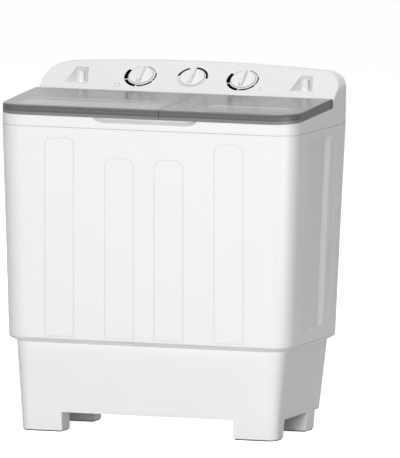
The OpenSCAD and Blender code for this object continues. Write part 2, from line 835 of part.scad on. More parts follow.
// Switch body behind the dial face, with a socket for its spindle
module switch_body(x, size) {
    on_face(x) difference() {
        translate([-size[0] / 2, -size[1] / 2, -wall - bracket_t - size[2]]) cube(size);
        translate([0, 0, -big]) cylinder(r = spindle_r + spindle_clear, h = big);
    }
}

module wash_timer() { color(grey_plastic) switch_body(-knob_pitch, timer_size); }

module spin_timer() { color(grey_plastic) switch_body(knob_pitch, timer_size); }

module drain_selector() { color(grey_plastic) switch_body(0, selector_size); }

module timer_bracket() {
    size = [2 * knob_pitch + 66, 48];
    color(zinc_steel) difference() {
        on_face(0) translate([-size[0] / 2, -size[1] / 2, -wall - bracket_t])
            cube([size[0], size[1], bracket_t]);
        for (i = [-1 : 1]) on_face(i * knob_pitch) translate([0, 0, -3 * wall])
            cylinder(r = spindle_r + 2, h = 6 * wall);
    }
}

module wash_motor() {
    lower = wash_motor_z[0];
    upper = wash_motor_z[1];
    cap = 10;
    color(cast_alloy) translate([motor_x, motor_y, 0]) rotate_extrude()
        polygon([[5 + run_clear, lower], [motor_r - 4, lower], [motor_r, lower + 8], [motor_r, upper - 8],
                 [motor_r - 4, upper], [5 + run_clear, upper], [5 + run_clear, upper - cap],
                 [31, upper - cap], [31, lower + cap], [5 + run_clear, lower + cap]]);
}

function grommet_places() = [for (sx = [-1, 1], sy = [-1, 1]) [motor_x + 40 * sx, motor_y + 40 * sy]];

module wash_motor_bracket() {
    plate_z = wash_motor_z[0] - bracket_plate_t;
    color(zinc_steel) difference() {
        translate([motor_x - 50, motor_y - 50, plate_z]) cube([100, 100, bracket_plate_t]);
        translate([motor_x, motor_y, plate_z - eps]) cylinder(r = 12, h = 2 * bracket_plate_t);
    }
}

module wash_motor_grommets() {
    plate_z = wash_motor_z[0] - bracket_plate_t;
    color(dark_rubber) for (p = grommet_places()) translate([p[0], p[1], floor_z])
        cylinder(r = grommet_r, h = plate_z - floor_z);
}

module belt_loop(grow) {
    hull() {
        translate([wash_x, wash_y]) circle(large_belt_r + grow, $fn = 96);
        translate([motor_x, motor_y]) circle(small_belt_r + grow, $fn = 96);
    }
}

module drive_belt() {
    color(dark_rubber) translate([0, 0, belt_z - belt_w / 2]) linear_extrude(belt_w) difference() {
        belt_loop(belt_t);
        belt_loop(0);
    }
}

module pulsator_housing() {
    flange_r = 40;
    color(cast_alloy) translate([wash_x, wash_y, 0]) rotate_extrude()
        polygon([[bush_r, housing_z], [20, housing_z], [28, tub_z - 8], [flange_r, tub_z - 6],
                 [flange_r, tub_z], [bush_r + 5, tub_z], [bush_r + 5, tub_floor_z + 3],
                 [bush_r, tub_floor_z + 3]]);
}

module pulsator_bushes() {
    color(bronze) for (z = [housing_z, tub_floor_z + 3 - bush_l - 4])
        translate([wash_x, wash_y, z]) tube(bush_r, shaft_r + run_clear, bush_l);
}

module pulsator_seal() {
    color(dark_rubber) translate([wash_x, wash_y, tub_floor_z - 1])
        tube(bush_r, shaft_r + 0.1, 4);
}

function mount_places() =
    [for (a = mount_angles) [spin_x + mount_ring_r * cos(a), spin_y + mount_ring_r * sin(a)]];

module spin_motor() {
    lower = spin_motor_z[0];
    upper = spin_motor_z[1];
    cap = 10;
    bore = shaft_r + run_clear;
    color(cast_alloy) union() {
        translate([spin_x, spin_y, 0]) rotate_extrude()
            polygon([[bore, lower], [motor_r - 4, lower], [motor_r, lower + 8], [motor_r, upper - 8],
                     [motor_r - 4, upper], [bore, upper], [bore, upper - cap], [31, upper - cap],
                     [31, lower + cap], [bore, lower + cap]]);
        for (a = mount_angles) translate([spin_x, spin_y, lug_z]) rotate(a)
            translate([motor_r - 2, -13, 0]) cube([mount_ring_r - motor_r + 16, 26, lug_t]);
    }
}

module spin_motor_mounts() {
    h = lug_z - floor_z;
    color(dark_rubber) for (p = mount_places()) translate([p[0], p[1], floor_z]) rotate_extrude()
        polygon([[0, 0], [15, 0], [15, 4], [10, h / 2], [13, h - 4], [13, h], [0, h]]);
}

module tub_bellows() {
    bore = shaft_r + 0.3;
    lip_z = tub_floor_z + 2;
    color(dark_rubber) translate([spin_x, spin_y, 0]) rotate_extrude()
        polygon([[bore, 206], [14, 206], [30, 214], [40, 222], [34, 229], [40, 236], [34, 243],
                 [40, tub_z - 2], [40, tub_z], [32, tub_z], [32, lip_z], [28, lip_z], [28, 244], [30, 240],
                 [36, 236], [30, 229], [36, 222], [28, 218], [14, 211], [bore, 211]]);
}

module brake_bracket() {
    color(zinc_steel) union() {
        for (x = brake_post_x) translate([x, lever_y - 8, floor_z]) difference() {
            cube([brake_post_t, 16, lever_z - floor_z + 8]);
            translate([-eps, 8, lever_z - floor_z]) along_x() cylinder(r = lever_r + run_clear, h = 10);
        }
        translate([brake_post_x[0], lever_y - 8, floor_z])
            cube([brake_post_x[1] - brake_post_x[0] + brake_post_t, 16, 3]);
    }
}

// Torsion spring that holds the brake on, wound round the lever's shaft between the bracket's posts
module brake_spring() {
    color(bright_steel) translate([brake_post_x[0] + brake_post_t, lever_y, lever_z]) along_x()
        tube(lever_r + 2.6, lever_r + 0.6, brake_post_x[1] - brake_post_x[0] - brake_post_t);
}

module lid_switch() {
    color(smoke_plastic) translate([196, console_y + wall, 612]) difference() {
        cube([26, 12, 14]);
        for (x = [5, 21]) translate([x, -eps, 7]) along_y() cylinder(r = 1.5, h = 14);
    }
}

cap_place = [60, 100];
cap_r = 18;

module capacitor() {
    color(grey_plastic) translate([cap_place[0], cap_place[1], floor_z]) rotate_extrude()
        polygon([[0, 0], [cap_r, 0], [cap_r, 64], [cap_r - 3, 67], [0, 67]]);
}

module capacitor_clip() {
    color(zinc_steel) translate([cap_place[0], cap_place[1], floor_z]) union() {
        translate([0, 0, 20]) tube(cap_r + 1.5, cap_r, 14);
        translate([cap_r, -8, 0]) cube([1.5, 16, 34]);
        translate([cap_r, -8, 0]) cube([14, 16, 1.5]);
    }
}

module wiring_loom() { color(dark_rubber) sweep(loom_route, loom_r, 8); }

module cord_gland() {
    color(dark_rubber) translate([gland_x, 0, outlet_z]) along_y() difference() {
        union() {
            translate([0, 0, gland_y[0]]) cylinder(r = gland_r + 4.4, h = gland_y[1] - gland_y[0]);
            translate([0, 0, gland_y[1] - 4]) cylinder(r = gland_r + 8.4, h = 4);
        }
        translate([0, 0, gland_y[0] - eps]) cylinder(r = gland_r, h = body_d);
    }
}

module lid_hinge_pins() {
    l = knuckle_l + 2 * (ear_gap + ear_t);
    color(bright_steel) for (x = concat(wash_hinges, spin_hinges))
        translate([x - l / 2, hinge_y, hinge_z]) along_x() cylinder(r = hinge_pin_r, h = l);
}

module lid_volume(x0, x1, inset) {
    intersection() {
        linear_extrude(big) intersection() {
            top_plan(inset);
            translate([x0 + inset, -half_d]) square([x1 - x0 - 2 * inset, half_d + hinge_y]);
        }
        slope_slab(deck_front_z + (inset > 0 ? -lid_h : lid_clear), deck_front_z + lid_h - inset);
    }
    translate([x0 + inset, hinge_y, hinge_z]) along_x()
        cylinder(r = barrel_r - inset, h = x1 - x0 - 2 * inset);
}

module lid(x0, x1, hinges) {
    slot_top = barrel_r - lid_wall + 0.4;
    difference() {
        union() {
            difference() {
                lid_volume(x0, x1, 0);
                lid_volume(x0, x1, lid_wall);
                for (x = hinges)
                    translate([x - hinge_slot / 2, hinge_y - barrel_r - 2, hinge_z - barrel_r - 2])
                        cube([hinge_slot, 2 * barrel_r + 4, barrel_r + 2 + slot_top]);
            }
            for (x = hinges) translate([x - knuckle_l / 2, hinge_y, hinge_z]) {
                along_x() cylinder(r = knuckle_r, h = knuckle_l);
                translate([0, -4, 0]) cube([knuckle_l, 8, slot_top + 0.8]);
            }
        }
        for (x = hinges) translate([x - knuckle_l, hinge_y, hinge_z]) along_x()
            cylinder(r = hinge_pin_r + run_clear, h = 2 * knuckle_l);
    }
}

module wash_lid() { color(smoke_plastic) lid(-half_w, lid_split_x - lid_gap / 2, wash_hinges); }

module spin_lid() { color(smoke_plastic) lid(lid_split_x + lid_gap / 2, half_w, spin_hinges); }

// Dial with a full-width grip bar that points up the slope
module knob(x) {
    on_face(x) difference() {
        union() {
            translate([0, 0, knob_gap]) rotate_extrude()
                polygon([[0, 0], [knob_r, 0], [knob_r, knob_t - 0.8], [knob_r - 0.8, knob_t], [0, knob_t]]);
            intersection() {
                translate([-grip_w / 2, -knob_r, knob_gap]) cube([grip_w, 2 * knob_r, knob_t + grip_h]);
                translate([0, 0, knob_gap]) rotate_extrude()
                    polygon([[0, 0], [knob_r - 2.5, 0], [knob_r - 4, knob_t + grip_h - 2],
                             [knob_r - 6, knob_t + grip_h], [0, knob_t + grip_h]]);
            }
        }
        translate([0, 0, -eps]) cylinder(r = spindle_r, h = knob_bore_h + eps);
    }
}

module spindle(x, depth) {
    on_face(x) translate([0, 0, -depth]) cylinder(r = spindle_r, h = depth + knob_bore_h);
}

module wash_timer_knob() { color(white_plastic) knob(-knob_pitch); }

module wash_timer_spindle() { color(bright_steel) spindle(-knob_pitch, 18); }

module drain_selector_knob() { color(white_plastic) knob(0); }

// The selector's spindle runs on through its switch to the crank that lifts the drain valve
module drain_selector_spindle() {
    reach = wall + bracket_t + selector_size[2] + 5;
    color(bright_steel) union() {
        spindle(0, reach);
        on_face(0) translate([-14, -3, -reach]) cube([16, 6, 4]);
    }
}

module spin_timer_knob() { color(white_plastic) knob(knob_pitch); }

module spin_timer_spindle() { color(bright_steel) spindle(knob_pitch, 18); }

module pulsator() {
    vanes = 6;
    hub_z = shaft_top_z;
    color(grey_plastic) translate([wash_x, wash_y, 0]) difference() {
        union() {
            rotate_extrude()
                polygon([[0, pulsator_z], [pulsator_r - 6, pulsator_z], [pulsator_r, pulsator_z + 4],
                         [pulsator_r - 2, pulsator_z + 6], [pulsator_r * 0.6, pulsator_z + 5],
                         [26, hub_z], [18, hub_z + 5], [0, hub_z + 6]]);
            for (i = [0 : vanes - 1]) rotate(i * 360 / vanes) translate([0, 4.5, 0]) rotate([90, 0, 0])
                linear_extrude(9) polygon([[12, pulsator_z + 2], [pulsator_r - 6, pulsator_z + 2],
                                           [pulsator_r - 8, pulsator_z + 10], [48, pulsator_z + 26],
                                           [26, pulsator_z + 24], [12, pulsator_z + 16]]);
        }
        translate([0, 0, pulsator_z - eps]) cylinder(r = shaft_r, h = shaft_top_z - pulsator_z + eps);
    }
}

module pulsator_shaft() {
    color(bright_steel) translate([wash_x, wash_y, belt_z - 15])
        cylinder(r = shaft_r, h = shaft_top_z - belt_z + 15);
}

// Grooved pulley: belt radius, bore and hub radius
module pulley(belt_r, bore, hub_r) {
    low = -pulley_w / 2;
    lip = belt_r + belt_t;
    root = belt_r - 0.4;
    rotate_extrude()
        polygon([[bore, low - 4], [hub_r, low - 4], [hub_r, -groove_w / 2], [root - 4, -groove_w / 2],
                 [root - 4, low], [lip, low], [lip, low + 2], [root, -groove_w / 2], [root, groove_w / 2],
                 [lip, 7], [lip, 9], [root - 4, 9], [root - 4, groove_w / 2], [hub_r, groove_w / 2],
                 [hub_r, 13], [bore, 13]]);
}

module pulsator_pulley() {
    holes_r = 40;
    color(cast_alloy) translate([wash_x, wash_y, belt_z]) difference() {
        pulley(large_belt_r, shaft_r, 14);
        for (a = [0 : 60 : 300]) rotate(a) translate([holes_r, 0, -pulley_w])
            cylinder(r = 12, h = 2 * pulley_w);
    }
}

module wash_rotor() {
    color(bright_steel) translate([motor_x, motor_y, 0]) union() {
        translate([0, 0, wash_motor_z[0] - 2]) cylinder(r = 5, h = belt_z + 14 - wash_motor_z[0] + 2);
        translate([0, 0, wash_motor_z[0] + 14]) cylinder(r = 30, h = wash_motor_z[1] - wash_motor_z[0] - 28);
    }
}

module motor_pulley() { color(cast_alloy) translate([motor_x, motor_y, belt_z]) pulley(small_belt_r, 5, 10); }

module spin_basket() {
    inner_r = basket_r - basket_wall;
    color(bright_steel) translate([spin_x, spin_y, 0]) difference() {
        rotate_extrude()
            polygon([[shaft_r, basket_z - 4], [basket_hub_r, basket_z - 4], [basket_hub_r, basket_z],
                     [basket_r - 10, basket_z], [basket_r, basket_z + 10], [basket_r, basket_top_z],
                     [basket_r - 9, basket_top_z], [basket_r - 9, basket_top_z - 16],
                     [inner_r, basket_top_z - 20], [inner_r, basket_z + 11],
                     [inner_r - 9, basket_z + 2], [basket_hub_r + 8, basket_z + 2],
                     [basket_hub_r, basket_hub_z], [shaft_r, basket_hub_z]]);
        for (a = [15 : 30 : 345], k = [0 : 3])
            rotate(a) translate([basket_r - 6, 0, basket_z + 55 + 60 * k]) along_x()
                cylinder(r = 3, h = 12);
    }
}

module spin_shaft() {
    color(bright_steel) translate([spin_x, spin_y, 0]) union() {
        translate([0, 0, spin_motor_z[0] - 2])
            cylinder(r = shaft_r, h = basket_hub_z + 8 - spin_motor_z[0] + 2);
        translate([0, 0, spin_motor_z[0] + 14]) cylinder(r = 30, h = spin_motor_z[1] - spin_motor_z[0] - 28);
        translate([0, 0, drum_z[0]]) cylinder(r = drum_r, h = drum_z[1] - drum_z[0]);
        translate([0, 0, basket_hub_z]) cylinder(r = 11, h = 8);
    }
}

module brake_lever() {
    shoe_y = spin_y + drum_r + shoe_gap;
    shoe_z = lever_z - 25;
    arm = rod_y - lever_y;
    color(zinc_steel) union() {
        translate([152, lever_y, lever_z]) along_x() cylinder(r = lever_r, h = rod_x + 3 - 152);
        translate([152, shoe_y, shoe_z - 10]) cube([16, 7, 20]);
        translate([156, shoe_y + 4, shoe_z]) cube([8, 4, lever_z - shoe_z + 3]);
        translate([156, shoe_y + 4, lever_z - 3]) cube([8, lever_y - shoe_y - 2, 6]);
        translate([rod_x - 3, lever_y, lever_z - 2]) cube([6, arm - 3, 4]);
    }
}

module brake_rod() {
    low = lever_z + 4;
    color(bright_steel) translate([rod_x, rod_y, 0]) union() {
        translate([0, 0, low]) cylinder(r = rod_r, h = rod_top_z - low);
        translate([-1.5, 0, rod_top_z - 3]) along_x() cylinder(r = 3, h = 3);
        translate([-4, -4, low - 1]) cube([8, 8, 3]);
    }
}

module drain_plunger() {
    rest_z = seat_z + plunger_travel + 0.3;
    color(dark_rubber) translate([drain_x, drain_y, 0]) union() {
        translate([0, 0, rest_z]) cylinder(r = 13, h = 5);
        translate([0, 0, rest_z + 4]) cylinder(r = 2, h = rod_top_z - rest_z - 4);
    }
}

cabinet_shell();
base_skirt();
foot_pads();
top_deck();
control_console();
console_back_cover();
console_cover_screws();
back_panel();
back_panel_screws();
water_inlet_stubs();
wash_inlet_duct();
spin_inlet_duct();
wash_tub();
spin_tub();
lint_filter();
overflow_column();
drain_valve_body();
drain_pipe();
spin_drain_pipe();
drain_outlet();
wash_timer();
spin_timer();
drain_selector();
timer_bracket();
wash_motor();
wash_motor_bracket();
wash_motor_grommets();
drive_belt();
pulsator_housing();
pulsator_bushes();
pulsator_seal();
spin_motor();
spin_motor_mounts();
tub_bellows();
brake_bracket();
brake_spring();
lid_switch();
capacitor();
capacitor_clip();
wiring_loom();
cord_gland();
lid_hinge_pins();
wash_lid();
spin_lid();
wash_timer_knob();
wash_timer_spindle();
drain_selector_knob();
drain_selector_spindle();
spin_timer_knob();
spin_timer_spindle();
pulsator();
pulsator_shaft();
pulsator_pulley();
wash_rotor();
motor_pulley();
spin_basket();
spin_shaft();
brake_lever();
brake_rod();
drain_plunger();
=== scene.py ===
import json
import math
import bmesh
import bpy
from mathutils import Matrix, Vector


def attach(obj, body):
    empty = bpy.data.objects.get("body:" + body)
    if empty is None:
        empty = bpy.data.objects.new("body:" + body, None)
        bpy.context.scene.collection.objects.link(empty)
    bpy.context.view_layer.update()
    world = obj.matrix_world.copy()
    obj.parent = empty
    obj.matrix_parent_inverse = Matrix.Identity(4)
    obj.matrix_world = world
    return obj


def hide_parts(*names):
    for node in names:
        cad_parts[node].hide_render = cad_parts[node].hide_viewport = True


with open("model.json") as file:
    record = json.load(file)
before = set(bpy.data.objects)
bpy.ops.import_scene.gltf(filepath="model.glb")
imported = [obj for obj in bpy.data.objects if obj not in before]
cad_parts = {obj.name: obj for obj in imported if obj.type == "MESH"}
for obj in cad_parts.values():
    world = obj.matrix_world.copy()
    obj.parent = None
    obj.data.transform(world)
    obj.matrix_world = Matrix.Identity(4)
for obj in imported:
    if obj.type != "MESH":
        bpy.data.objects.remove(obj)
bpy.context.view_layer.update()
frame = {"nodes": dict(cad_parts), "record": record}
nodes = frame["nodes"]
mm = 0.001  # shapes below are written in millimetres
far = 400  # cutters reach this far from the middle, past the whole machine
past = 2  # and start this far outside a wall
print("frame loaded:", len(nodes), "nodes")


# camera at the photograph's angle

viewpoint = {"yaw": 17.84, "pitch": 5.44, "roll": 0.755, "distance": 32.0, "lens": 1315.5, "sensor": 36,
             "clip": (1, 120), "target": (0, 0, 0.345), "across": 0.05595, "lift": 0.04002}


def placeCamera(spec):
    yaw, pitch, roll = (math.radians(spec[key]) for key in ("yaw", "pitch", "roll"))
    back = Vector((math.sin(yaw) * math.cos(pitch), -math.cos(yaw) * math.cos(pitch), math.sin(pitch)))
    right = Vector((math.cos(yaw), math.sin(yaw), 0))
    up = back.cross(right)
    sideways = right * math.cos(roll) + up * math.sin(roll)
    upwards = up * math.cos(roll) - right * math.sin(roll)
    aim = Vector(spec["target"]) + sideways * spec["across"] + upwards * spec["lift"]
    data = bpy.data.cameras.new("photoCamera")
    data.lens = spec["lens"]
    data.sensor_width = spec["sensor"]
    data.clip_start, data.clip_end = spec["clip"]
    camera = bpy.data.objects.new("photoCamera", data)
    bpy.context.scene.collection.objects.link(camera)
    turn = Matrix((sideways, upwards, back)).transposed()
    camera.matrix_world = Matrix.Translation(aim + back * spec["distance"]) @ turn.to_4x4()
    bpy.context.scene.camera = camera


placeCamera(viewpoint)


# studio: pale floor, soft lamps, white surroundings for camera, gloss and glass

studio = {"ambient": 0.125, "floorShade": 0.60, "floorGlow": 0.90, "floorRough": 0.9, "floorSize": 26.0,
          "lamps": [("frontLamp", (0.95, -5.0, 1.4), 2.4, 190), ("topLamp", (0.1, -0.4, 4.6), 3.0, 76),
                    ("backLamp", (1.1, 4.6, 2.6), 3.0, 100),
                    ("sideLamp", (-2.9, 3.3, 2.0), 3.0, 60)],  # place, size and power of each
          "sheen": ("cornerSheen", (1.72, -0.92, 0.20), 1.1, 150),  # only seen as gloss
          "aim": (0, 0, 0.35)}


def mathNode(tree, operation, a, b):
    node = tree.nodes.new("ShaderNodeMath")
    node.operation = operation
    for slot, value in enumerate((a, b)):
        if isinstance(value, (int, float)):
            node.inputs[slot].default_value = value
        else:
            tree.links.new(value, node.inputs[slot])
    return node.outputs[0]


def whiteForView(tree):
    path = tree.nodes.new("ShaderNodeLightPath")
    seen = mathNode(tree, "MAXIMUM", path.outputs["Is Camera Ray"], path.outputs["Is Glossy Ray"])
    return mathNode(tree, "MAXIMUM", seen, path.outputs["Is Transmission Ray"])


def makeWorld(spec):
    world = bpy.data.worlds.new("studioWorld")
    bpy.context.scene.world = world
    world.use_nodes = True
    tree = world.node_tree
    sky = tree.nodes["Background"]
    sky.inputs["Color"].default_value = (1, 1, 1, 1)
    strength = tree.nodes.new("ShaderNodeMapRange")
    strength.inputs["To Min"].default_value = spec["ambient"]
    strength.inputs["To Max"].default_value = 1.0
    tree.links.new(whiteForView(tree), strength.inputs["Value"])
    tree.links.new(strength.outputs["Result"], sky.inputs["Strength"])


def makeFloor(spec):
    half = spec["floorSize"] / 2
    corners = [(-half, -half, 0), (half, -half, 0), (half, half, 0), (-half, half, 0)]
    mesh = bpy.data.meshes.new("studioFloor")
    mesh.from_pydata(corners, [], [(0, 1, 2, 3)])
    floor = bpy.data.objects.new("studioFloor", mesh)
    bpy.context.scene.collection.objects.link(floor)
    paint = bpy.data.materials.new("floorPaint")
    paint.use_nodes = True
    tree = paint.node_tree
    shader = tree.nodes["Principled BSDF"]
    shader.inputs["Base Color"].default_value = (spec["floorShade"],) * 3 + (1,)
    shader.inputs["Roughness"].default_value = spec["floorRough"]
    shader.inputs["Specular IOR Level"].default_value = 0.0
    shader.inputs["Emission Color"].default_value = (1, 1, 1, 1)
    glow = mathNode(tree, "MULTIPLY", whiteForView(tree), spec["floorGlow"])
    tree.links.new(glow, shader.inputs["Emission Strength"])
    mesh.materials.append(paint)


def makeLamps(spec):
    for name, spot, size, power in spec["lamps"] + [spec["sheen"]]:
        data = bpy.data.lights.new(name, "AREA")
        data.shape = "DISK"
        data.size = size
        data.energy = power
        lamp = bpy.data.objects.new(name, data)
        lamp.location = spot
        lamp.rotation_euler = (Vector(spec["aim"]) - Vector(spot)).to_track_quat("-Z", "Y").to_euler()
        lamp.visible_camera = False
        lamp.visible_glossy = name == spec["sheen"][0]
        lamp.visible_diffuse = name != spec["sheen"][0]
        bpy.context.scene.collection.objects.link(lamp)


bpy.context.scene.view_settings.view_transform = "Standard"
makeWorld(studio)
makeFloor(studio)
makeLamps(studio)
print("studio ready")


# mesh helpers, all in millimetres

def addMesh(name, points, faces):
    mesh = bpy.data.meshes.new(name)
    mesh.from_pydata([(x * mm, y * mm, z * mm) for x, y, z in points], [], faces)
    obj = bpy.data.objects.new(name, mesh)
    bpy.context.scene.collection.objects.link(obj)
    faceOut(obj)
    return obj


def faceOut(obj, weld=0.0):
    bm = bmesh.new()
    bm.from_mesh(obj.data)
    if weld:  # points this close, in metres, become one
        bmesh.ops.remove_doubles(bm, verts=bm.verts, dist=weld)
    bmesh.ops.recalc_face_normals(bm, faces=bm.faces)
    bm.to_mesh(obj.data)
    bm.free()


def loft(name, rings, closed=False):
    # skin over rings of points, capped at both ends or closed on itself
    count = len(rings[0])
    points = [p for ring in rings for p in ring]
    faces = []
    steps = len(rings) if closed else len(rings) - 1
    for k in range(steps):
        low, high = k * count, ((k + 1) % len(rings)) * count
        for i in range(count):
            j = (i + 1) % count
            faces.append((low + i, low + j, high + j, high + i))
    if not closed:
        faces.append(tuple(range(count)))
        faces.append(tuple(range(len(points) - count, len(points))))
    return addMesh(name, points, faces)


def prism(name, outline, low, high, axis="z"):
    turns = {"x": lambda a, b, t: (t, a, b), "y": lambda a, b, t: (a, t, b), "z": lambda a, b, t: (a, b, t)}
    return loft(name, [[turns[axis](a, b, t) for a, b in outline] for t in (low, high)])


def block(name, low, high):
    (x0, y0, z0), (x1, y1, z1) = low, high
    return prism(name, [(x0, y0), (x1, y0), (x1, y1), (x0, y1)], z0, z1)


def lathe(name, profile, centre=(0, 0), segments=64):
    rings = []
    for k in range(segments):
        a = 2 * math.pi * k / segments
        rings.append([(centre[0] + r * math.cos(a), centre[1] + r * math.sin(a), z) for r, z in profile])
    obj = loft(name, rings, closed=True)
    faceOut(obj, weld=1e-7)
    return obj


def settle(obj):
    # what the modifiers make becomes the plain mesh
    bpy.context.view_layer.update()
    shaped = obj.evaluated_get(bpy.context.evaluated_depsgraph_get())
    mesh = bpy.data.meshes.new_from_object(shaped)
    old = obj.data
    obj.modifiers.clear()
    obj.data = mesh
    mesh.name = obj.name
    bpy.data.meshes.remove(old)
    return obj


def drop(obj):
    mesh = obj.data
    bpy.data.objects.remove(obj)
    bpy.data.meshes.remove(mesh)


def carve(target, *tools, mode="DIFFERENCE"):
    for tool in tools:
        step = target.modifiers.new("carve", "BOOLEAN")
        step.operation = mode
        step.solver = "EXACT"
        step.object = tool
        settle(target)
        drop(tool)
    return target


def join(target, *others):
    bm = bmesh.new()
    bm.from_mesh(target.data)
    for other in others:
        bm.from_mesh(other.data)
    bm.to_mesh(target.data)
    bm.free()
    for other in others:
        drop(other)
    return target


def markEdges(obj, wanted, angle=28):
    # bevel weight on the sharp edges whose two ends pass the test
    bm = bmesh.new()
    bm.from_mesh(obj.data)
    layers = bm.edges.layers.float
    layer = layers.get("bevel_weight_edge") or layers.new("bevel_weight_edge")
    for edge in bm.edges:
        sharp = len(edge.link_faces) == 2 and edge.calc_face_angle(0) > math.radians(angle)
        edge[layer] = 1.0 if sharp and all(wanted(v.co / mm) for v in edge.verts) else 0.0
    bm.to_mesh(obj.data)
    bm.free()


def roundEdges(obj, width, segments=3, angle=None):
    step = obj.modifiers.new("roundEdges", "BEVEL")
    step.width = width * mm
    step.segments = segments
    step.limit_method = "ANGLE" if angle else "WEIGHT"
    if angle:
        step.angle_limit = math.radians(angle)
    step.use_clamp_overlap = True
    step.miter_outer = "MITER_ARC"
    return settle(obj)


def smooth(obj, angle=32, keen=None, fold=4.6):
    faceOut(obj, weld=1e-6)
    mesh = obj.data
    mesh.polygons.foreach_set("use_smooth", [True] * len(mesh.polygons))
    mesh.set_sharp_from_angle(angle=math.radians(angle))
    if keen:  # where gentle folds still show as lines
        bm = bmesh.new()
        bm.from_mesh(mesh)
        for edge in bm.edges:
            if edge.calc_face_angle(0) > math.radians(fold) and all(keen(v.co / mm) for v in edge.verts):
                edge.smooth = False
        bm.to_mesh(mesh)
        bm.free()
    step = obj.modifiers.new("evenShading", "WEIGHTED_NORMAL")
    step.keep_sharp = True
    step.weight = 80
    return settle(obj)


def markPaintedShading(obj, wanted):
    # share of the finish's painted light or shade on each face, told by its centre
    values = [float(wanted(part.center / mm)) for part in obj.data.polygons]
    obj.data.attributes.new("tone", "FLOAT", "FACE").data.foreach_set("value", values)
    return obj


def arc(cx, cy, r, start, stop, steps, ry=None):
    ry = r if ry is None else ry
    turn = [math.radians(start + (stop - start) * i / steps) for i in range(steps + 1)]
    return [(cx + r * math.cos(a), cy + ry * math.sin(a)) for a in turn]


def roundedBox(cx, cy, w, d, r, steps=10):
    x, y = w / 2 - r, d / 2 - r
    return (arc(cx + x, cy - y, r, -90, 0, steps) + arc(cx + x, cy + y, r, 0, 90, steps)
            + arc(cx - x, cy + y, r, 90, 180, steps) + arc(cx - x, cy - y, r, 180, 270, steps))


def bodyPlan(half, front, back, rf, rb, steps=22):
    return (arc(half - rf, front + rf, rf, -90, 0, steps) + arc(half - rb, back - rb, rb, 0, 90, steps)
            + arc(rb - half, back - rb, rb, 90, 180, steps) + arc(rf - half, front + rf, rf, 180, 270, steps))


def level(outline, z):
    return [(x, y, z) for x, y in outline]


def ringOf(cx, cy, r, sides=24):
    return arc(cx, cy, r, 0, 360 - 360 / sides, sides - 1)


def layAlongY(obj, x, z):
    # a turned piece made upright is laid down along the machine's depth
    for v in obj.data.vertices:
        v.co = (v.co.x + x * mm, v.co.z, v.co.y + z * mm)
    faceOut(obj)
    return obj


# one Geometry Nodes tree copies a shape to marked spots

def makeRepeater():
    tree = bpy.data.node_groups.new("copiesAtSpots", "GeometryNodeTree")
    for label, kind in (("Spots", "NodeSocketGeometry"), ("Shape", "NodeSocketObject"),
                        ("Size", "NodeSocketFloat"), ("Finish", "NodeSocketMaterial")):
        tree.interface.new_socket(label, in_out="INPUT", socket_type=kind)
    tree.interface.new_socket("Copies", in_out="OUTPUT", socket_type="NodeSocketGeometry")
    given, out = tree.nodes.new("NodeGroupInput"), tree.nodes.new("NodeGroupOutput")
    shape = tree.nodes.new("GeometryNodeObjectInfo")
    turn = tree.nodes.new("GeometryNodeInputNamedAttribute")
    turn.data_type = "FLOAT_VECTOR"
    turn.inputs["Name"].default_value = "turn"
    spin = tree.nodes.new("FunctionNodeEulerToRotation")
    copies = tree.nodes.new("GeometryNodeInstanceOnPoints")
    real = tree.nodes.new("GeometryNodeRealizeInstances")
    coat = tree.nodes.new("GeometryNodeSetMaterial")
    for source, label, target, socket in (
            (given, "Spots", copies, "Points"), (given, "Shape", shape, "Object"),
            (shape, "Geometry", copies, "Instance"), (given, "Size", copies, "Scale"),
            (turn, "Attribute", spin, "Euler"), (spin, "Rotation", copies, "Rotation"),
            (copies, "Instances", real, "Geometry"), (real, "Geometry", coat, "Geometry"),
            (given, "Finish", coat, "Material"), (coat, "Geometry", out, "Copies")):
        tree.links.new(source.outputs[label], target.inputs[socket])
    return tree, {item.name: item.identifier for item in tree.interface.items_tree if item.in_out == "INPUT"}


repeater, repeaterInputs = makeRepeater()
unturned = (0, 0, 0)


def repeatAt(name, shape, spots, paint=None):
    # spots: place in millimetres and turn in degrees of each copy
    obj = addMesh(name, [where for where, turn in spots], [])
    turns = obj.data.attributes.new("turn", "FLOAT_VECTOR", "POINT")
    turns.data.foreach_set("vector", [math.radians(a) for where, turn in spots for a in turn])
    step = obj.modifiers.new("copies", "NODES")
    step.node_group = repeater
    step[repeaterInputs["Shape"]] = shape
    step[repeaterInputs["Size"]] = 1.0
    step[repeaterInputs["Finish"]] = paint
    settle(obj)
    drop(shape)
    return obj


def around(centre, count, z=0, shift=0):
    # spots that turn about an upright axis
    return [((*centre, z), (0, 0, 360 * (i + shift) / count)) for i in range(count)]


def spread(count):
    # steps to either side of the middle
    return [i - (count - 1) / 2 for i in range(count)]


# finishes: shared effects first, then one material for each finish

def newGroup(name, inputs, outputs):
    tree = bpy.data.node_groups.new(name, "ShaderNodeTree")
    for label, kind, value in inputs:
        socket = tree.interface.new_socket(label, in_out="INPUT", socket_type=kind)
        socket.default_value = value
    for label, kind in outputs:
        tree.interface.new_socket(label, in_out="OUTPUT", socket_type=kind)
    return tree, tree.nodes.new("NodeGroupInput"), tree.nodes.new("NodeGroupOutput")


def mixColour(tree, factor, first, second):
    node = tree.nodes.new("ShaderNodeMix")
    node.data_type = "RGBA"
    for slot, value in ((0, factor), (6, first), (7, second)):  # 6, 7 and 2 are its colour sockets
        if hasattr(value, "links"):
            tree.links.new(value, node.inputs[slot])
        else:
            node.inputs[slot].default_value = value
    return node.outputs[2]


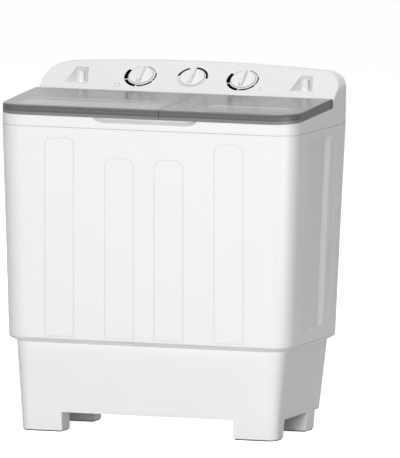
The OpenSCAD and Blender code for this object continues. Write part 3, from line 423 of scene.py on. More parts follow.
def makeMouldSkin():
    # fine moulded skin: tiny peel in the height, slow clouds in the gloss and the shade
    tree, given, out = newGroup("mouldSkin", [
        ("Colour", "NodeSocketColor", (0.8, 0.8, 0.8, 1)), ("Shade", "NodeSocketFloat", 0.03),
        ("Roughness", "NodeSocketFloat", 0.3), ("Spread", "NodeSocketFloat", 0.08),
        ("Grain", "NodeSocketFloat", 700.0)],
        [("Colour", "NodeSocketColor"), ("Roughness", "NodeSocketFloat"), ("Height", "NodeSocketFloat")])
    coords = tree.nodes.new("ShaderNodeTexCoord")
    peel = tree.nodes.new("ShaderNodeTexNoise")
    peel.inputs["Detail"].default_value = 3
    cloud = tree.nodes.new("ShaderNodeTexNoise")
    cloud.inputs["Scale"].default_value = 9
    cloud.inputs["Detail"].default_value = 4
    for texture in (peel, cloud):
        tree.links.new(coords.outputs["Object"], texture.inputs["Vector"])
    tree.links.new(given.outputs["Grain"], peel.inputs["Scale"])
    centred = mathNode(tree, "SUBTRACT", cloud.outputs["Fac"], 0.5)
    uneven = mathNode(tree, "MULTIPLY", centred, given.outputs["Spread"])
    darker = mathNode(tree, "MULTIPLY", cloud.outputs["Fac"], given.outputs["Shade"])
    clouded = mixColour(tree, darker, given.outputs["Colour"], (0.30, 0.30, 0.31, 1))
    tree.links.new(clouded, out.inputs["Colour"])
    tree.links.new(mathNode(tree, "ADD", given.outputs["Roughness"], uneven), out.inputs["Roughness"])
    tree.links.new(peel.outputs["Fac"], out.inputs["Height"])
    return tree


def makeBrushing():
    # drawn metal: noise stretched across the drawing direction
    tree, given, out = newGroup("brushing", [
        ("Colour", "NodeSocketColor", (0.6, 0.6, 0.6, 1)), ("Streaks", "NodeSocketVector", (40, 40, 900)),
        ("Contrast", "NodeSocketFloat", 0.2), ("Roughness", "NodeSocketFloat", 0.3)],
        [("Colour", "NodeSocketColor"), ("Roughness", "NodeSocketFloat"), ("Height", "NodeSocketFloat")])
    coords = tree.nodes.new("ShaderNodeTexCoord")
    stretch = tree.nodes.new("ShaderNodeMapping")
    streak = tree.nodes.new("ShaderNodeTexNoise")
    streak.inputs["Scale"].default_value = 1
    streak.inputs["Detail"].default_value = 5
    tree.links.new(coords.outputs["Object"], stretch.inputs["Vector"])
    tree.links.new(given.outputs["Streaks"], stretch.inputs["Scale"])
    tree.links.new(stretch.outputs["Vector"], streak.inputs["Vector"])
    amount = mathNode(tree, "MULTIPLY", streak.outputs["Fac"], given.outputs["Contrast"])
    streaked = mixColour(tree, amount, given.outputs["Colour"], (0.16, 0.16, 0.17, 1))
    tree.links.new(streaked, out.inputs["Colour"])
    tree.links.new(mathNode(tree, "ADD", given.outputs["Roughness"], amount), out.inputs["Roughness"])
    tree.links.new(streak.outputs["Fac"], out.inputs["Height"])
    return tree


mouldSkin = makeMouldSkin()
brushing = makeBrushing()


def finish(name, group, values, bump, plain, tone=None):
    paint = bpy.data.materials.new(name)
    paint.use_nodes = True
    tree = paint.node_tree
    shader = tree.nodes["Principled BSDF"]
    skin = tree.nodes.new("ShaderNodeGroup")
    skin.node_tree = group
    for label, value in values.items():
        skin.inputs[label].default_value = value
    relief = tree.nodes.new("ShaderNodeBump")
    relief.inputs["Strength"].default_value = bump[0]
    relief.inputs["Distance"].default_value = bump[1] * mm
    colour = skin.outputs["Colour"]
    # painted light and shade: marked faces mix toward the finish's painted shading colour
    if tone:
        mark = tree.nodes.new("ShaderNodeAttribute")
        mark.attribute_name = "tone"
        colour = mixColour(tree, mark.outputs["Fac"], colour, (*tone, 1))
    tree.links.new(colour, shader.inputs["Base Color"])
    tree.links.new(skin.outputs["Roughness"], shader.inputs["Roughness"])
    tree.links.new(skin.outputs["Height"], relief.inputs["Height"])
    tree.links.new(relief.outputs["Normal"], shader.inputs["Normal"])
    for label, value in plain.items():
        shader.inputs[label].default_value = value
    return paint


def plastic(name, colour, rough, shade=0.03, uneven=0.08, grain=700.0, bump=(0.05, 0.05), tone=None,
            gloss=0.5):
    values = {"Colour": (*colour, 1), "Shade": shade, "Roughness": rough, "Spread": uneven, "Grain": grain}
    return finish(name, mouldSkin, values, bump, {"Specular IOR Level": gloss}, tone)


def metal(name, colour, streaks, contrast, rough):
    values = {"Colour": (*colour, 1), "Streaks": streaks, "Contrast": contrast, "Roughness": rough}
    return finish(name, brushing, values, (0.12, 0.05), {"Metallic": 1.0})


finishes = {
    # its second colour is painted shade for the seam line, panel grooves and inlet walls
    "white_plastic": plastic("glossWhite", (0.86, 0.863, 0.868), 0.36, tone=(0.50, 0.50, 0.51), gloss=0.04),
    "tub_plastic": plastic("tubWhite", (0.74, 0.77, 0.79), 0.36, shade=0.06),
    # its paler second colour is painted light on the lids' raised panels
    "smoke_plastic": plastic("smokeLid", (0.150, 0.152, 0.155), 0.24, shade=0.05, uneven=0.06, grain=420.0,
                             bump=(0.03, 0.05), tone=(0.45, 0.453, 0.458), gloss=0.60),
    "black_rubber": plastic("blackRubber", (0.028, 0.028, 0.029), 0.72, shade=0.1, grain=1300.0,
                            bump=(0.3, 0.1)),
    "switch_plastic": plastic("switchGrey", (0.09, 0.095, 0.1), 0.5, grain=900.0, bump=(0.2, 0.1)),
    "motor_alloy": metal("castAlloy", (0.56, 0.57, 0.58), (260, 260, 260), 0.25, 0.38),
    "steel": metal("drawnSteel", (0.66, 0.67, 0.68), (30, 30, 900), 0.18, 0.22),
    "zinc_steel": metal("zincPlate", (0.60, 0.62, 0.64), (120, 120, 120), 0.3, 0.32),
    "bronze": metal("bearingBronze", (0.55, 0.36, 0.18), (200, 200, 200), 0.2, 0.35),
}
# its second colour is painted shade at the disc's rim and on the grip's flanks
dialWhite = plastic("dialWhite", (0.872, 0.874, 0.877), 0.32, tone=(0.50, 0.50, 0.51), gloss=0.06)
# its paler second colour is painted light on the band's lower lip and fine line
smokeRim = plastic("smokeRim", (0.126, 0.128, 0.131), 0.42, shade=0.05, grain=420.0, bump=(0.03, 0.05),
                   tone=(0.235, 0.235, 0.24), gloss=0.05)
prints = {"black": plastic("printBlack", (0.003, 0.003, 0.0033), 0.7, shade=0.0, gloss=0.0),
          "grey": plastic("printGrey", (0.16, 0.16, 0.165), 0.6, shade=0.0, gloss=0.1),
          "pale": plastic("printPale", (0.52, 0.52, 0.53), 0.6, shade=0.0, gloss=0.1)}


def dress(obj, paint):
    obj.data.materials.clear()
    obj.data.materials.append(paint)


for entry in frame["record"]["subparts"]:
    dress(nodes[entry["node"]], finishes[entry["material_slot"]])


def place(obj, carrier, slot, *stands, paint=None):
    dress(obj, paint or finishes[slot])
    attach(obj, carrier)
    if stands:
        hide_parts(*stands)
    return obj


print("finishes ready")


# body sizes shared by the white mouldings

# one value here is painted shade: how dark the seam line is painted
body = {"half": 297.5, "front": -175, "back": 175, "frontRadius": 50, "backRadius": 20, "seam": 588,
        "foot": 180, "sideDraft": 12.5, "frontDraft": 16.5, "backDraft": 8, "wall": 3,
        "seamEdge": 1.1, "seamPaintedShade": 0.8, "backCut": (-5, 7)}  # depth span of cuts through the back
deck = {"front": 609, "slope": math.tan(math.radians(3)), "plate": 4, "gutter": 54, "gutterFloor": 608,
        "consoleFront": 78, "hinge": (66, 631.28), "hinges": {"wash": (-262, -2), "spin": (62, 240)}}
face = {"foot": 637, "tilt": math.radians(35.2), "knobY": 119.5, "pitch": 103, "top": 695, "crown": 8,
        "cornerWide": 44, "cornerHigh": 36}
screw = {"head": 3.9, "thick": 1.4, "sink": 4.4, "cross": (4.6, 0.9, 0.8),
         "turns": (20, 65, -35, 80, 5, 50)}  # no two slots line up
faceRise = math.tan(face["tilt"])
knobZ = face["foot"] + (face["knobY"] - deck["consoleFront"]) * faceRise


def topPlan(inset=0):
    return bodyPlan(body["half"] - inset, body["front"] + inset, body["back"] - inset,
                    body["frontRadius"] - inset, body["backRadius"] - inset)


def leanAt(z):
    # the walls lean inwards: 0 at the seam, 1 at the cabinet's foot
    return (body["seam"] - z) / (body["seam"] - body["foot"])


def sidePlan(z, inset=0):
    t = leanAt(z)
    return bodyPlan(body["half"] - body["sideDraft"] * t - inset,
                    body["front"] + body["frontDraft"] * t + inset,
                    body["back"] - body["backDraft"] * t - inset,
                    body["frontRadius"] - inset, body["backRadius"] - inset)


def deckZ(y):
    return deck["front"] + (y - body["front"]) * deck["slope"]


def faceZ(y):
    return face["foot"] + (y - deck["consoleFront"]) * faceRise


def atSeam(p):
    return abs(p.z - body["seam"]) < 0.5


def onFace(x, across, up, out):
    # point on the dial face: across and up from the knob row, out along its normal
    c, s = math.cos(face["tilt"]), math.sin(face["tilt"])
    return (x + across, face["knobY"] + up * c - out * s, knobZ + up * s + out * c)


def layFlat(name, outline, start, stop):
    # prism on the upright back, its depths counted inwards
    return prism(name, outline, body["back"] - stop, body["back"] - start, "y")


# upper moulding: deck, gutter and console in one piece

moulding = {"edge": 4.0, "backEdge": 9.0, "smallEdge": 0.7, "hoodFoot": 640,
            "inletX": 226, "inletY": 124, "inletFloor": 650, "inletTop": 720, "inletFront": 95,
            "inletBack": 136, "inletHalf": 23.5, "inletLeft": 12, "inletRight": 13, "inletCorner": 6,
            # painted shade on each inlet pocket's far wall
            "inletPaintedShade": 0.55,
            "washMouth": (-117, -53, 290, 190, 24), "spinMouth": (160, -48, 94), "mouthCut": (595, 640),
            "washRim": 8, "spinRim": 21, "rimFoot": 604, "rodHole": (268, 70, 4.5), "stubHole": 9,
            "scoopTop": 105, "scoopBottom": 78, "scoopHigh": 10.5, "scoopDeep": 9, "scoopRise": 7.2,
            "scoopTaper": 0.985, "scoopLead": (3, 2),  # starts this far before the front and this much lower
            "scoopBacking": (112, 13, 592, 620),  # half width, thickness, foot, top
            "ear": (7.5, 11.5, 4, 606),  # hinge ear: near and far side of the hinge, radius, foot
            "spindleHole": 5, "spindleCut": (-6, 3), "cover": (0, 636, 480, 62, 3),
            "screws": [(x, z) for x in (-246, 246) for z in (612, 660)]}


def consoleOutline(inset):
    half, top = body["half"] - inset, face["top"] - inset
    wide, high = face["cornerWide"], face["cornerHigh"]
    foot, shoulder, steps = body["seam"] - past, top - face["crown"], 24
    shares = [i / steps for i in range(steps - 1, -steps, -1)]
    return ([(-half, foot), (half, foot)] + arc(half - wide, shoulder - high, wide, 0, 90, steps, high)
            + [((half - wide) * share, top - face["crown"] * share ** 2) for share in shares]
            + arc(wide - half, shoulder - high, wide, 90, 180, steps, high))


def mouldingSolid(name, inset, floor):
    gap = 0 if inset else past
    front, back = body["front"] + inset - gap, body["back"] - inset + gap
    top = face["top"] + past - inset
    lift = -inset / math.cos(face["tilt"])
    start = deck["consoleFront"] + inset
    plate = deck["plate"] if inset else 0
    lip = deck["gutter"] - inset
    profile = [(front, floor), (back, floor), (back, top),
               (deck["consoleFront"] + (top - face["foot"] - lift) / faceRise, top),
               (start, faceZ(start) + lift)]
    if inset:
        under = deck["gutterFloor"] - inset
        profile += [(start, under), (lip, under), (lip, deckZ(lip) - plate)]
    else:
        profile.append((start, deckZ(start)))
    profile.append((front, deckZ(front) - plate))
    solid = prism(name, topPlan(inset), floor, top + past)
    carve(solid, prism("sideCut", profile, -far, far, "x"), mode="INTERSECT")
    carve(solid, prism("frontCut", consoleOutline(inset), -far, far, "y"), mode="INTERSECT")
    if not inset:  # the gutter ends at the side walls
        reach, low = body["half"] - body["wall"], deck["gutterFloor"]
        carve(solid, block("gutter", (-reach, lip, low), (reach, deck["consoleFront"], face["top"])))
    return solid


def inletPlan(x, grow):
    half, r = moulding["inletHalf"] + grow, moulding["inletCorner"]
    front, back = moulding["inletFront"] - grow, moulding["inletBack"]
    return ([(x - half, front), (x + half, front)]
            + arc(x + moulding["inletRight"] - r, back - r, r + grow, 0, 90, 8)
            + [(x - moulding["inletLeft"] - grow, back + grow)])


def scoopOutline(low, rise):
    wide, flat, top = moulding["scoopTop"], moulding["scoopBottom"], deck["front"] + 2 * past
    return ([(-wide, top)] + arc(-flat, low + rise, wide - flat, 180, 270, 10, rise)
            + arc(flat, low + rise, wide - flat, 270, 360, 10, rise) + [(wide, top)])


def mouldingHollow(spec):
    wall = body["wall"]
    hollow = mouldingSolid("hollow", wall, body["seam"] - 1)
    cx, cy, w, d, r = spec["washMouth"]
    sx, sy, sr = spec["spinMouth"]
    grow = spec["washRim"]
    washRim = roundedBox(cx, cy, w + 2 * grow, d + 2 * grow, r + grow)
    spinRim = ringOf(sx, sy, sr + spec["spinRim"], 120)
    for rim in (washRim, spinRim):
        carve(hollow, loft("rim", [level(rim, spec["rimFoot"]), [(x, y, deckZ(y) + wall) for x, y in rim]]))
    for side in (-1, 1):
        plan = inletPlan(side * spec["inletX"], wall)
        carve(hollow, prism("pocket", plan, spec["inletFloor"] - wall, spec["inletTop"]))
    half, thick, low, high = spec["scoopBacking"]
    front = body["front"]
    carve(hollow, block("scoopBacking", (-half, front - 1, low), (half, front + thick, high)))
    return hollow


def mouldingCutters(spec):
    cx, cy, w, d, r = spec["washMouth"]
    gutter, through = deck["gutterFloor"], body["wall"] + past
    cutters = [prism("washCut", roundedBox(cx, cy, w, d, r), *spec["mouthCut"]),
               prism("spinCut", ringOf(*spec["spinMouth"], 120), *spec["mouthCut"]),
               prism("rodCut", ringOf(*spec["rodHole"]), gutter - through, gutter + past)]
    for side in (-1, 1):
        x, floor = side * spec["inletX"], spec["inletFloor"]
        cutters.append(prism("inletCut", inletPlan(x, 0), floor, spec["inletTop"]))
        hole = ringOf(x, spec["inletY"], spec["stubHole"])
        cutters.append(prism("stubCut", hole, floor - through, floor + past))
    low, rise = deck["front"] - spec["scoopHigh"], spec["scoopHigh"]
    before, lower = spec["scoopLead"]
    inner, deep, lift = spec["scoopTaper"], body["front"] + spec["scoopDeep"], spec["scoopRise"]
    cutters.append(loft("scoopCut", [
        [(x, body["front"] - before, z) for x, z in scoopOutline(low - lower, rise)],
        [(x * inner, deep, z + lift) for x, z in scoopOutline(low, rise)]]))
    hole = ringOf(0, 0, spec["spindleHole"])
    for step in (-1, 0, 1):
        x = step * face["pitch"]
        rings = [[onFace(x, a, b, out) for a, b in hole] for out in spec["spindleCut"]]
        cutters.append(loft("spindleCut", rings))
    x, z, w, h, r = spec["cover"]
    outside, inside = body["backCut"]
    cutters.append(layFlat("coverCut", roundedBox(x, z, w, h, r, 4), outside, inside))
    for x, z in spec["screws"]:
        cutters.append(layFlat("screwSink", ringOf(x, z, screw["sink"]), outside, screw["thick"]))
    return cutters


def hingeEars(spec):
    near, away, r, foot = spec["ear"]
    hy, hz = deck["hinge"]
    outline = [(hy - r, foot), (hy + r, foot)] + arc(hy, hz, r, 0, 180, 12)
    ears = []
    for x in deck["hinges"]["wash"] + deck["hinges"]["spin"]:
        for side in (-1, 1):
            low, high = sorted((x + side * near, x + side * away))
            ears.append(prism("hingeEar", outline, low, high, "x"))
    return ears


def makeMoulding(spec):
    solid = mouldingSolid("upperMoulding", 0, body["seam"])
    rear = body["back"] - body["backRadius"] - 1
    markEdges(solid, lambda p: p.z > spec["hoodFoot"] and p.y > rear and faceZ(p.y) - p.z > 4)
    roundEdges(solid, spec["backEdge"], 6)
    fromY, fromZ = deck["consoleFront"] - 1, face["foot"] - 12
    markEdges(solid, lambda p: abs(faceZ(p.y) - p.z) < 1
              and (p.z > spec["hoodFoot"] or (p.y > fromY and p.z > fromZ)))
    roundEdges(solid, spec["edge"], 5)
    markEdges(solid, atSeam)
    roundEdges(solid, body["seamEdge"], 3)
    carve(solid, mouldingHollow(spec), *mouldingCutters(spec))
    roundEdges(solid, spec["smallEdge"], 2, angle=48)
    join(solid, *hingeEars(spec))

    # painted shade: darker on the seam line and on each inlet pocket's far wall
    def shade(p):
        if atSeam(p):
            return body["seamPaintedShade"]
        across, away = abs(abs(p.x) - spec["inletX"]), spec["inletBack"] + 0.5 - p.y
        farWall = across < spec["inletRight"] + 1 and 0 < away < spec["inletCorner"] + 1
        return spec["inletPaintedShade"] if farWall and p.z < faceZ(p.y) - 2 else 0.0

    return markPaintedShading(smooth(solid), shade)


place(makeMoulding(moulding), "cabinet", "white_plastic", "top_deck", "control_console")
print("upper moulding made")


# cabinet: leaning walls with grooved panels and a shallow recess in each side

cabinet = {"panels": [(-169.5, 569), (-49.5, 534), (49.5, 534), (169.5, 569)],  # middle and top of each
           "panelWide": 60, "panelRadius": 17, "panelFoot": 185.5, "panelReach": 240,
           # the grooves are painted darker inside: painted shade
           "groove": 2.3, "grooveDeep": 1.5, "groovePaintedShade": 0.2,
           "recess": (-66, 64), "recessEdge": (6, 15.5), "recessDeep": 6.5, "recessSpan": (206, 571),
           "sideLines": (86, 130), "lineWide": 8, "lineFront": 1.2, "lineDeep": 2.0, "lineSpan": (206, 574),
           "sideArea": (270, -80, 145),  # side folds stay keen beyond this x, between these y
           "edge": 0.6, "footEdge": 3.0, "opening": (0, 395, 380, 330, 3),
           "screws": [(x, z) for x in (-196, 196) for z in (245, 395, 545)]}


def leanOn(points, wall):
    # wall coordinates: along the wall, height on the machine, depth into the wall
    spots = []
    for along, z, deep in points:
        t = leanAt(z)
        if wall == "front":
            spots.append((along, body["front"] + body["frontDraft"] * t + deep, z))
        elif wall == "back":
            spots.append((along, body["back"] - body["backDraft"] * t - deep, z))
        else:
            side = 1 if wall == "right" else -1
            spots.append((side * (body["half"] - body["sideDraft"] * t - deep), along, z))
    return spots


def wallPrism(name, outline, wall, start, stop):
    return loft(name, [leanOn([(a, z, deep) for a, z in outline], wall) for deep in (start, stop)])


def wallStrip(name, section, wall, low, high):
    return loft(name, [leanOn([(a, z, deep) for a, deep in section], wall) for z in (low, high)])


def panelOutline(x, top, shrink):
    half, r = cabinet["panelWide"] / 2 - shrink, cabinet["panelRadius"] - shrink
    foot, high = cabinet["panelFoot"] + shrink, top - shrink
    return ([(x - half, foot), (x + half, foot)] + arc(x + half - r, high - r, r, 0, 90, 10)
            + arc(x - half + r, high - r, r, 90, 180, 10))


def recessBlock(name, wall, grow, deep):
    start, stop = cabinet["recess"][0] - grow, cabinet["recess"][1] + grow
    frontRun, rearRun = cabinet["recessEdge"]
    low, high = cabinet["recessSpan"]
    section = [(start, 0), (start + frontRun, deep), (stop - rearRun, deep), (stop, 0), (stop, -past),
               (start, -past)]
    return wallStrip(name, section, wall, low - grow, high + grow)


def cabinetCutters(spec):
    cutters = []
    for x, top in spec["panels"]:
        ring = wallPrism("groove", panelOutline(x, top, 0), "front", -past, spec["grooveDeep"])
        inner = panelOutline(x, top, spec["groove"])
        carve(ring, wallPrism("panel", inner, "front", -2 * past, spec["grooveDeep"] + past))
        cutters.append(ring)
    for wall in ("left", "right"):
        cutters.append(recessBlock("recess", wall, 0, spec["recessDeep"]))
        for y in spec["sideLines"]:
            end = y + spec["lineWide"]
            section = [(y, -1), (y, 0), (y + spec["lineFront"], spec["lineDeep"]), (end, 0), (end, -1)]
            cutters.append(wallStrip("sideLine", section, wall, *spec["lineSpan"]))
    x, z, w, h, r = spec["opening"]
    cutters.append(wallPrism("backOpening", roundedBox(x, z, w, h, r, 4), "back", *body["backCut"]))
    for x, z in spec["screws"]:
        cutters.append(wallPrism("screwSink", ringOf(x, z, screw["sink"]), "back", -past, screw["thick"]))
    return cutters


def makeCabinet(spec):
    solid = loft("cabinetShell", [level(sidePlan(z), z) for z in (body["foot"], body["seam"])])
    markEdges(solid, lambda p: p.z < body["foot"] + 1)
    roundEdges(solid, spec["footEdge"], 4)
    markEdges(solid, atSeam)
    roundEdges(solid, body["seamEdge"], 3)
    wall = body["wall"]
    hollow = loft("hollow", [level(sidePlan(z, wall), z) for z in (body["foot"] - 1, body["seam"] + 1)])
    for side in ("left", "right"):
        carve(hollow, recessBlock("recessBack", side, wall, spec["recessDeep"] + wall))
    carve(solid, hollow, *cabinetCutters(spec))
    roundEdges(solid, spec["edge"], 2, angle=40)
    beyond, fromY, toY = spec["sideArea"]
    smooth(solid, keen=lambda p: abs(p.x) > beyond and fromY < p.y < toY)

    # painted shade: darker on the seam line and inside the panel grooves
    def shade(p):
        if atSeam(p):
            return body["seamPaintedShade"]
        deep = p.y - body["front"] - body["frontDraft"] * leanAt(p.z)
        inGroove = abs(p.x) < spec["panelReach"] and 0.5 < deep < spec["grooveDeep"] + 0.1
        return spec["groovePaintedShade"] if inGroove else 0.0

    return markPaintedShading(solid, shade)


place(makeCabinet(cabinet), "cabinet", "white_plastic", "cabinet_shell")
print("cabinet made")


# base: stepped skirt with four moulded feet

base = {"step": 15, "stepFoot": 172, "draft": 14, "foot": 4, "skirt": 38, "floor": 54, "floorThick": 4,
        "footX": 172, "footDeep": 48, "rearFoot": 64, "backCorner": 6, "edge": 1.6,
        "outlet": (-40, 112, 12.3), "gland": (190, 112, 8.3), "holeSpan": (120, 200),
        "padInset": 2, "padEdge": 0.8, "sole": 2.2}
frontFoot = body["front"] + body["frontDraft"] + base["step"] + base["draft"] + base["footDeep"]


def basePlan(z, inset=0):
    if z >= base["stepFoot"]:
        inwards = base["step"] * (body["foot"] - z) / (body["foot"] - base["stepFoot"])
    else:
        inwards = base["step"] + base["draft"] * (base["stepFoot"] - z) / (base["stepFoot"] - base["foot"])
    total = inset + inwards
    return bodyPlan(body["half"] - body["sideDraft"] - total, body["front"] + body["frontDraft"] + total,
                    body["back"] - body["backDraft"] - total, body["frontRadius"] - total,
                    max(body["backRadius"] - total, base["backCorner"]))


def baseLoft(name, heights, inset=0):
    return loft(name, [level(basePlan(z, inset), z) for z in heights])


def footBlocks(gap, low, high):
    rear = base["rearFoot"]
    blocks = []
    for start, stop in ((-far, frontFoot - gap), (rear + gap, rear + base["footDeep"] - gap)):
        for side in (-1, 1):
            a, b = sorted((side * (base["footX"] + gap), side * far))
            blocks.append(block("footBlock", (a, start, low), (b, stop, high)))
    return join(*blocks)


def makeBase(spec):
    solid = baseLoft("baseSkirt", (spec["sole"], spec["stepFoot"], body["foot"]))
    side, skirt, rear = spec["footX"], spec["skirt"], spec["rearFoot"]
    rearEnd = rear + spec["footDeep"]
    for reach, start, stop in ((side, -far, far), (far, frontFoot, rear), (far, rearEnd, far)):
        carve(solid, block("betweenFeet", (-reach, start, -past), (reach, stop, skirt)))
    hollow = loft("hollow", [level(basePlan(min(z, body["foot"]), body["wall"]), z)
                             for z in (spec["floor"], spec["stepFoot"], body["foot"] + 1)])
    pocket = baseLoft("pocket", (skirt - 1, spec["floor"] - spec["floorThick"]), body["wall"])
    carve(pocket, footBlocks(0, 0, spec["floor"]))
    carve(solid, hollow, pocket)
    for x, z, r in (spec["outlet"], spec["gland"]):
        carve(solid, prism("backHole", ringOf(x, z, r, 36), *spec["holeSpan"], "y"))
    roundEdges(solid, spec["edge"], 3, angle=42)
    return smooth(solid)


def makePads(spec):
    gap = spec["padInset"]
    pads = prism("footPads", basePlan(spec["foot"], gap), 0, spec["foot"])
    carve(pads, footBlocks(gap, -1, spec["foot"] + 1), mode="INTERSECT")
    roundEdges(pads, spec["padEdge"], 2, angle=40)
    return smooth(pads)


place(makeBase(base), "cabinet", "white_plastic", "base_skirt")
place(makePads(base), "cabinet", "black_rubber", "foot_pads")
print("base made")


# lids: smoke-grey covers with a rolled front edge, raised grip panels and a hinge barrel

lids = {"gap": 0.3, "high": 19, "wall": 3, "roll": 5.0, "edge": 0.5, "split": 29, "splitGap": 0.5,
        "frontFrom": -100, "bandBack": 30, "rimBack": 80,  # front edge starts; band lines and satin rim end
        "span": (560, 720), "lip": 6.0,
        "lines": [(6.0, 0.9, 0.7), (10.5, 1.8, 0.3)],  # fine lines round the band: start, height, depth
        # the second band line is painted paler: a painted highlight
        "linePaintedLight": 0.5, "barrel": 9.35, "barrelCorner": 4.2, "barrelLean": 13,
        "slotHalf": 13, "slotReach": 12, "slotTop": 6.75,
        "knuckle": {"radius": 5.5, "neck": 4, "top": 7.6, "half": 7, "bore": 2.05},
        "raisedSink": 0.4, "raisedFoot": -1.0, "raisedRun": 18, "raisedEnd": 0.1, "paintedLightLine": -96}
raised = {  # profile from the rear: place and rise; stations across: x, share of the rise, front end
    "wash": {"profile": [(-66, 1.2), (-94, 1.25), (-96, 0.65)], "frontRise": 1.9, "rear": -50,
             "stations": [(-266, 0, -164), (-231, 1, -168), (15, 1, -169), (23, 0, -169)],
             "shade": (0.34, 0.57)},  # painted light, paler where light would show through the smoky lid: behind and before the painted-light line
    "spin": {"profile": [(-98, 1.5)], "frontRise": 1.6, "rear": -66,
             "stations": [(96, 0, -169), (124, 1, -169), (252, 1, -166), (284, 0, -148)],
             # painted highlight on the rear ramp, nearly none before it
             "shade": (1.0, 0.06)}}


def lidPlan(x0, x1, inset, back):
    solid = prism("lidPlan", topPlan(inset), *lids["span"])
    carve(solid, block("lidSide", (x0 + inset, -far, 0), (x1 - inset, back, 2 * far)), mode="INTERSECT")
    return solid


def slopeBlock(low, high):
    corners = ((-far, -far), (far, -far), (far, far), (-far, far))
    return loft("slopeBlock", [[(x, y, z + (y - body["front"]) * deck["slope"]) for x, y in corners]
                               for z in (low, high)])


def raisedPanel(panel):
    sink, foot = lids["raisedSink"], lids["raisedFoot"]
    rings = []
    for x, share, front in panel["stations"]:
        end = [(front + lids["raisedRun"], panel["frontRise"]), (front, lids["raisedEnd"])]
        spots = [(y, share * (rise + sink) - sink) for y, rise in panel["profile"] + end]
        spots = [(panel["rear"], foot)] + spots + [(front, foot)]
        rings.append([(x, y, deckZ(y) + lids["high"] + rise) for y, rise in spots])
    return loft("raised", rings)


def barrelSection(spec):
    # round below, squarer above; the rear face leans to clear the deck's walls when the lid is open
    hy, hz = deck["hinge"]
    tilt, corner = spec["barrelLean"], spec["barrelCorner"]
    rise = spec["barrel"] - corner
    run = rise * (1 - math.sin(math.radians(tilt))) / math.cos(math.radians(tilt))
    return arc(hy, hz, spec["barrel"], 90, 360 + tilt, 36) + arc(hy + run, hz + rise, corner, tilt, 90, 8)


def lidHollow(x0, x1, spec):
    hy, hz = deck["hinge"]
    wall = spec["wall"]
    hollow = lidPlan(x0, x1, wall, hy)
    carve(hollow, slopeBlock(body["seam"], deck["front"] + spec["high"] - wall), mode="INTERSECT")
    bore = prism("bore", ringOf(hy, hz, spec["barrel"] - wall, 48), x0 + wall, x1 - wall, "x")
    return carve(hollow, bore, mode="UNION")


def lidKnuckle(x, spec):
    hy, hz = deck["hinge"]
    half, neck, top = spec["half"], spec["neck"], hz + spec["top"]
    outline = arc(hy, hz, spec["radius"], 135, 405, 20) + [(hy + neck, top), (hy - neck, top)]
    knuckle = prism("knuckle", outline, x - half, x + half, "x")
    bore = ringOf(hy, hz, spec["bore"])
    return carve(knuckle, prism("pinHole", bore, x - half - past, x + half + past, "x"))


def makeLid(name, x0, x1, side, spec):
    hy, hz = deck["hinge"]
    low = deck["front"] + spec["gap"]
    solid = lidPlan(x0, x1, 0, hy)
    carve(solid, slopeBlock(low, deck["front"] + spec["high"]), mode="INTERSECT")
    solid.name = name

    def rolled(p):  # the upper edge, apart from its stretch along the split
        outer = abs(p.x) > body["half"] - spec["roll"] or abs(p.x - spec["split"]) > 2
        return deckZ(p.y) + spec["high"] - 1 < p.z and p.y < hy - 1 and (outer or p.y < spec["frontFrom"])

    markEdges(solid, rolled)
    roundEdges(solid, spec["roll"], 5)
    carve(solid, raisedPanel(raised[side]), mode="UNION")
    carve(solid, prism("barrel", barrelSection(spec), x0, x1, "x"), mode="UNION")
    carve(solid, lidHollow(x0, x1, spec))
    for start, lineHigh, deep in spec["lines"]:
        line = slopeBlock(low + start, low + start + lineHigh)
        carve(line, prism("lineInner", topPlan(deep), *spec["span"]),
              block("rearKeep", (-far, spec["bandBack"], 0), (far, 2 * far, 2 * far)))
        carve(solid, line)
    half, reach, top = spec["slotHalf"], spec["slotReach"], hz + spec["slotTop"]
    for x in deck["hinges"][side]:
        carve(solid, block("slot", (x - half, hy - reach, hz - reach), (x + half, hy + reach, top)))
    roundEdges(solid, spec["edge"], 2, angle=44)
    join(solid, *[lidKnuckle(x, spec["knuckle"]) for x in deck["hinges"][side]])
    smooth(solid)

    # painted light: paler raised panels, a painted highlight line in the band and a paler lower lip
    def shade(p):
        rise = p.z - deckZ(p.y)
        if rise > spec["high"] + 0.05:
            return raised[side]["shade"][int(p.y < spec["paintedLightLine"])]
        start, lineHigh = spec["lines"][1][:2]
        if p.y < spec["bandBack"] and 0 < rise - spec["gap"] - start < lineHigh:
            return spec["linePaintedLight"]
        return 1.0 if p.y < spec["bandBack"] and rise < spec["gap"] + spec["lip"] else 0.0

    return markPaintedShading(solid, shade)


for name, x0, x1, side in (("washLid", -body["half"], lids["split"] - lids["splitGap"], "wash"),
                           ("spinLid", lids["split"] + lids["splitGap"], body["half"], "spin")):
    node = side + "_lid"
    lid = place(makeLid(name, x0, x1, side, lids), node, "smoke_plastic", node)
    lid.data.materials.append(smokeRim)  # satin band round the edge
    for part in lid.data.polygons:
        upright = abs(part.normal.z) < 0.5
        part.material_index = int(upright and part.center.y < lids["rimBack"] * mm)
print("lids made")


# dials: knobs with a grip bar, printed arcs round them

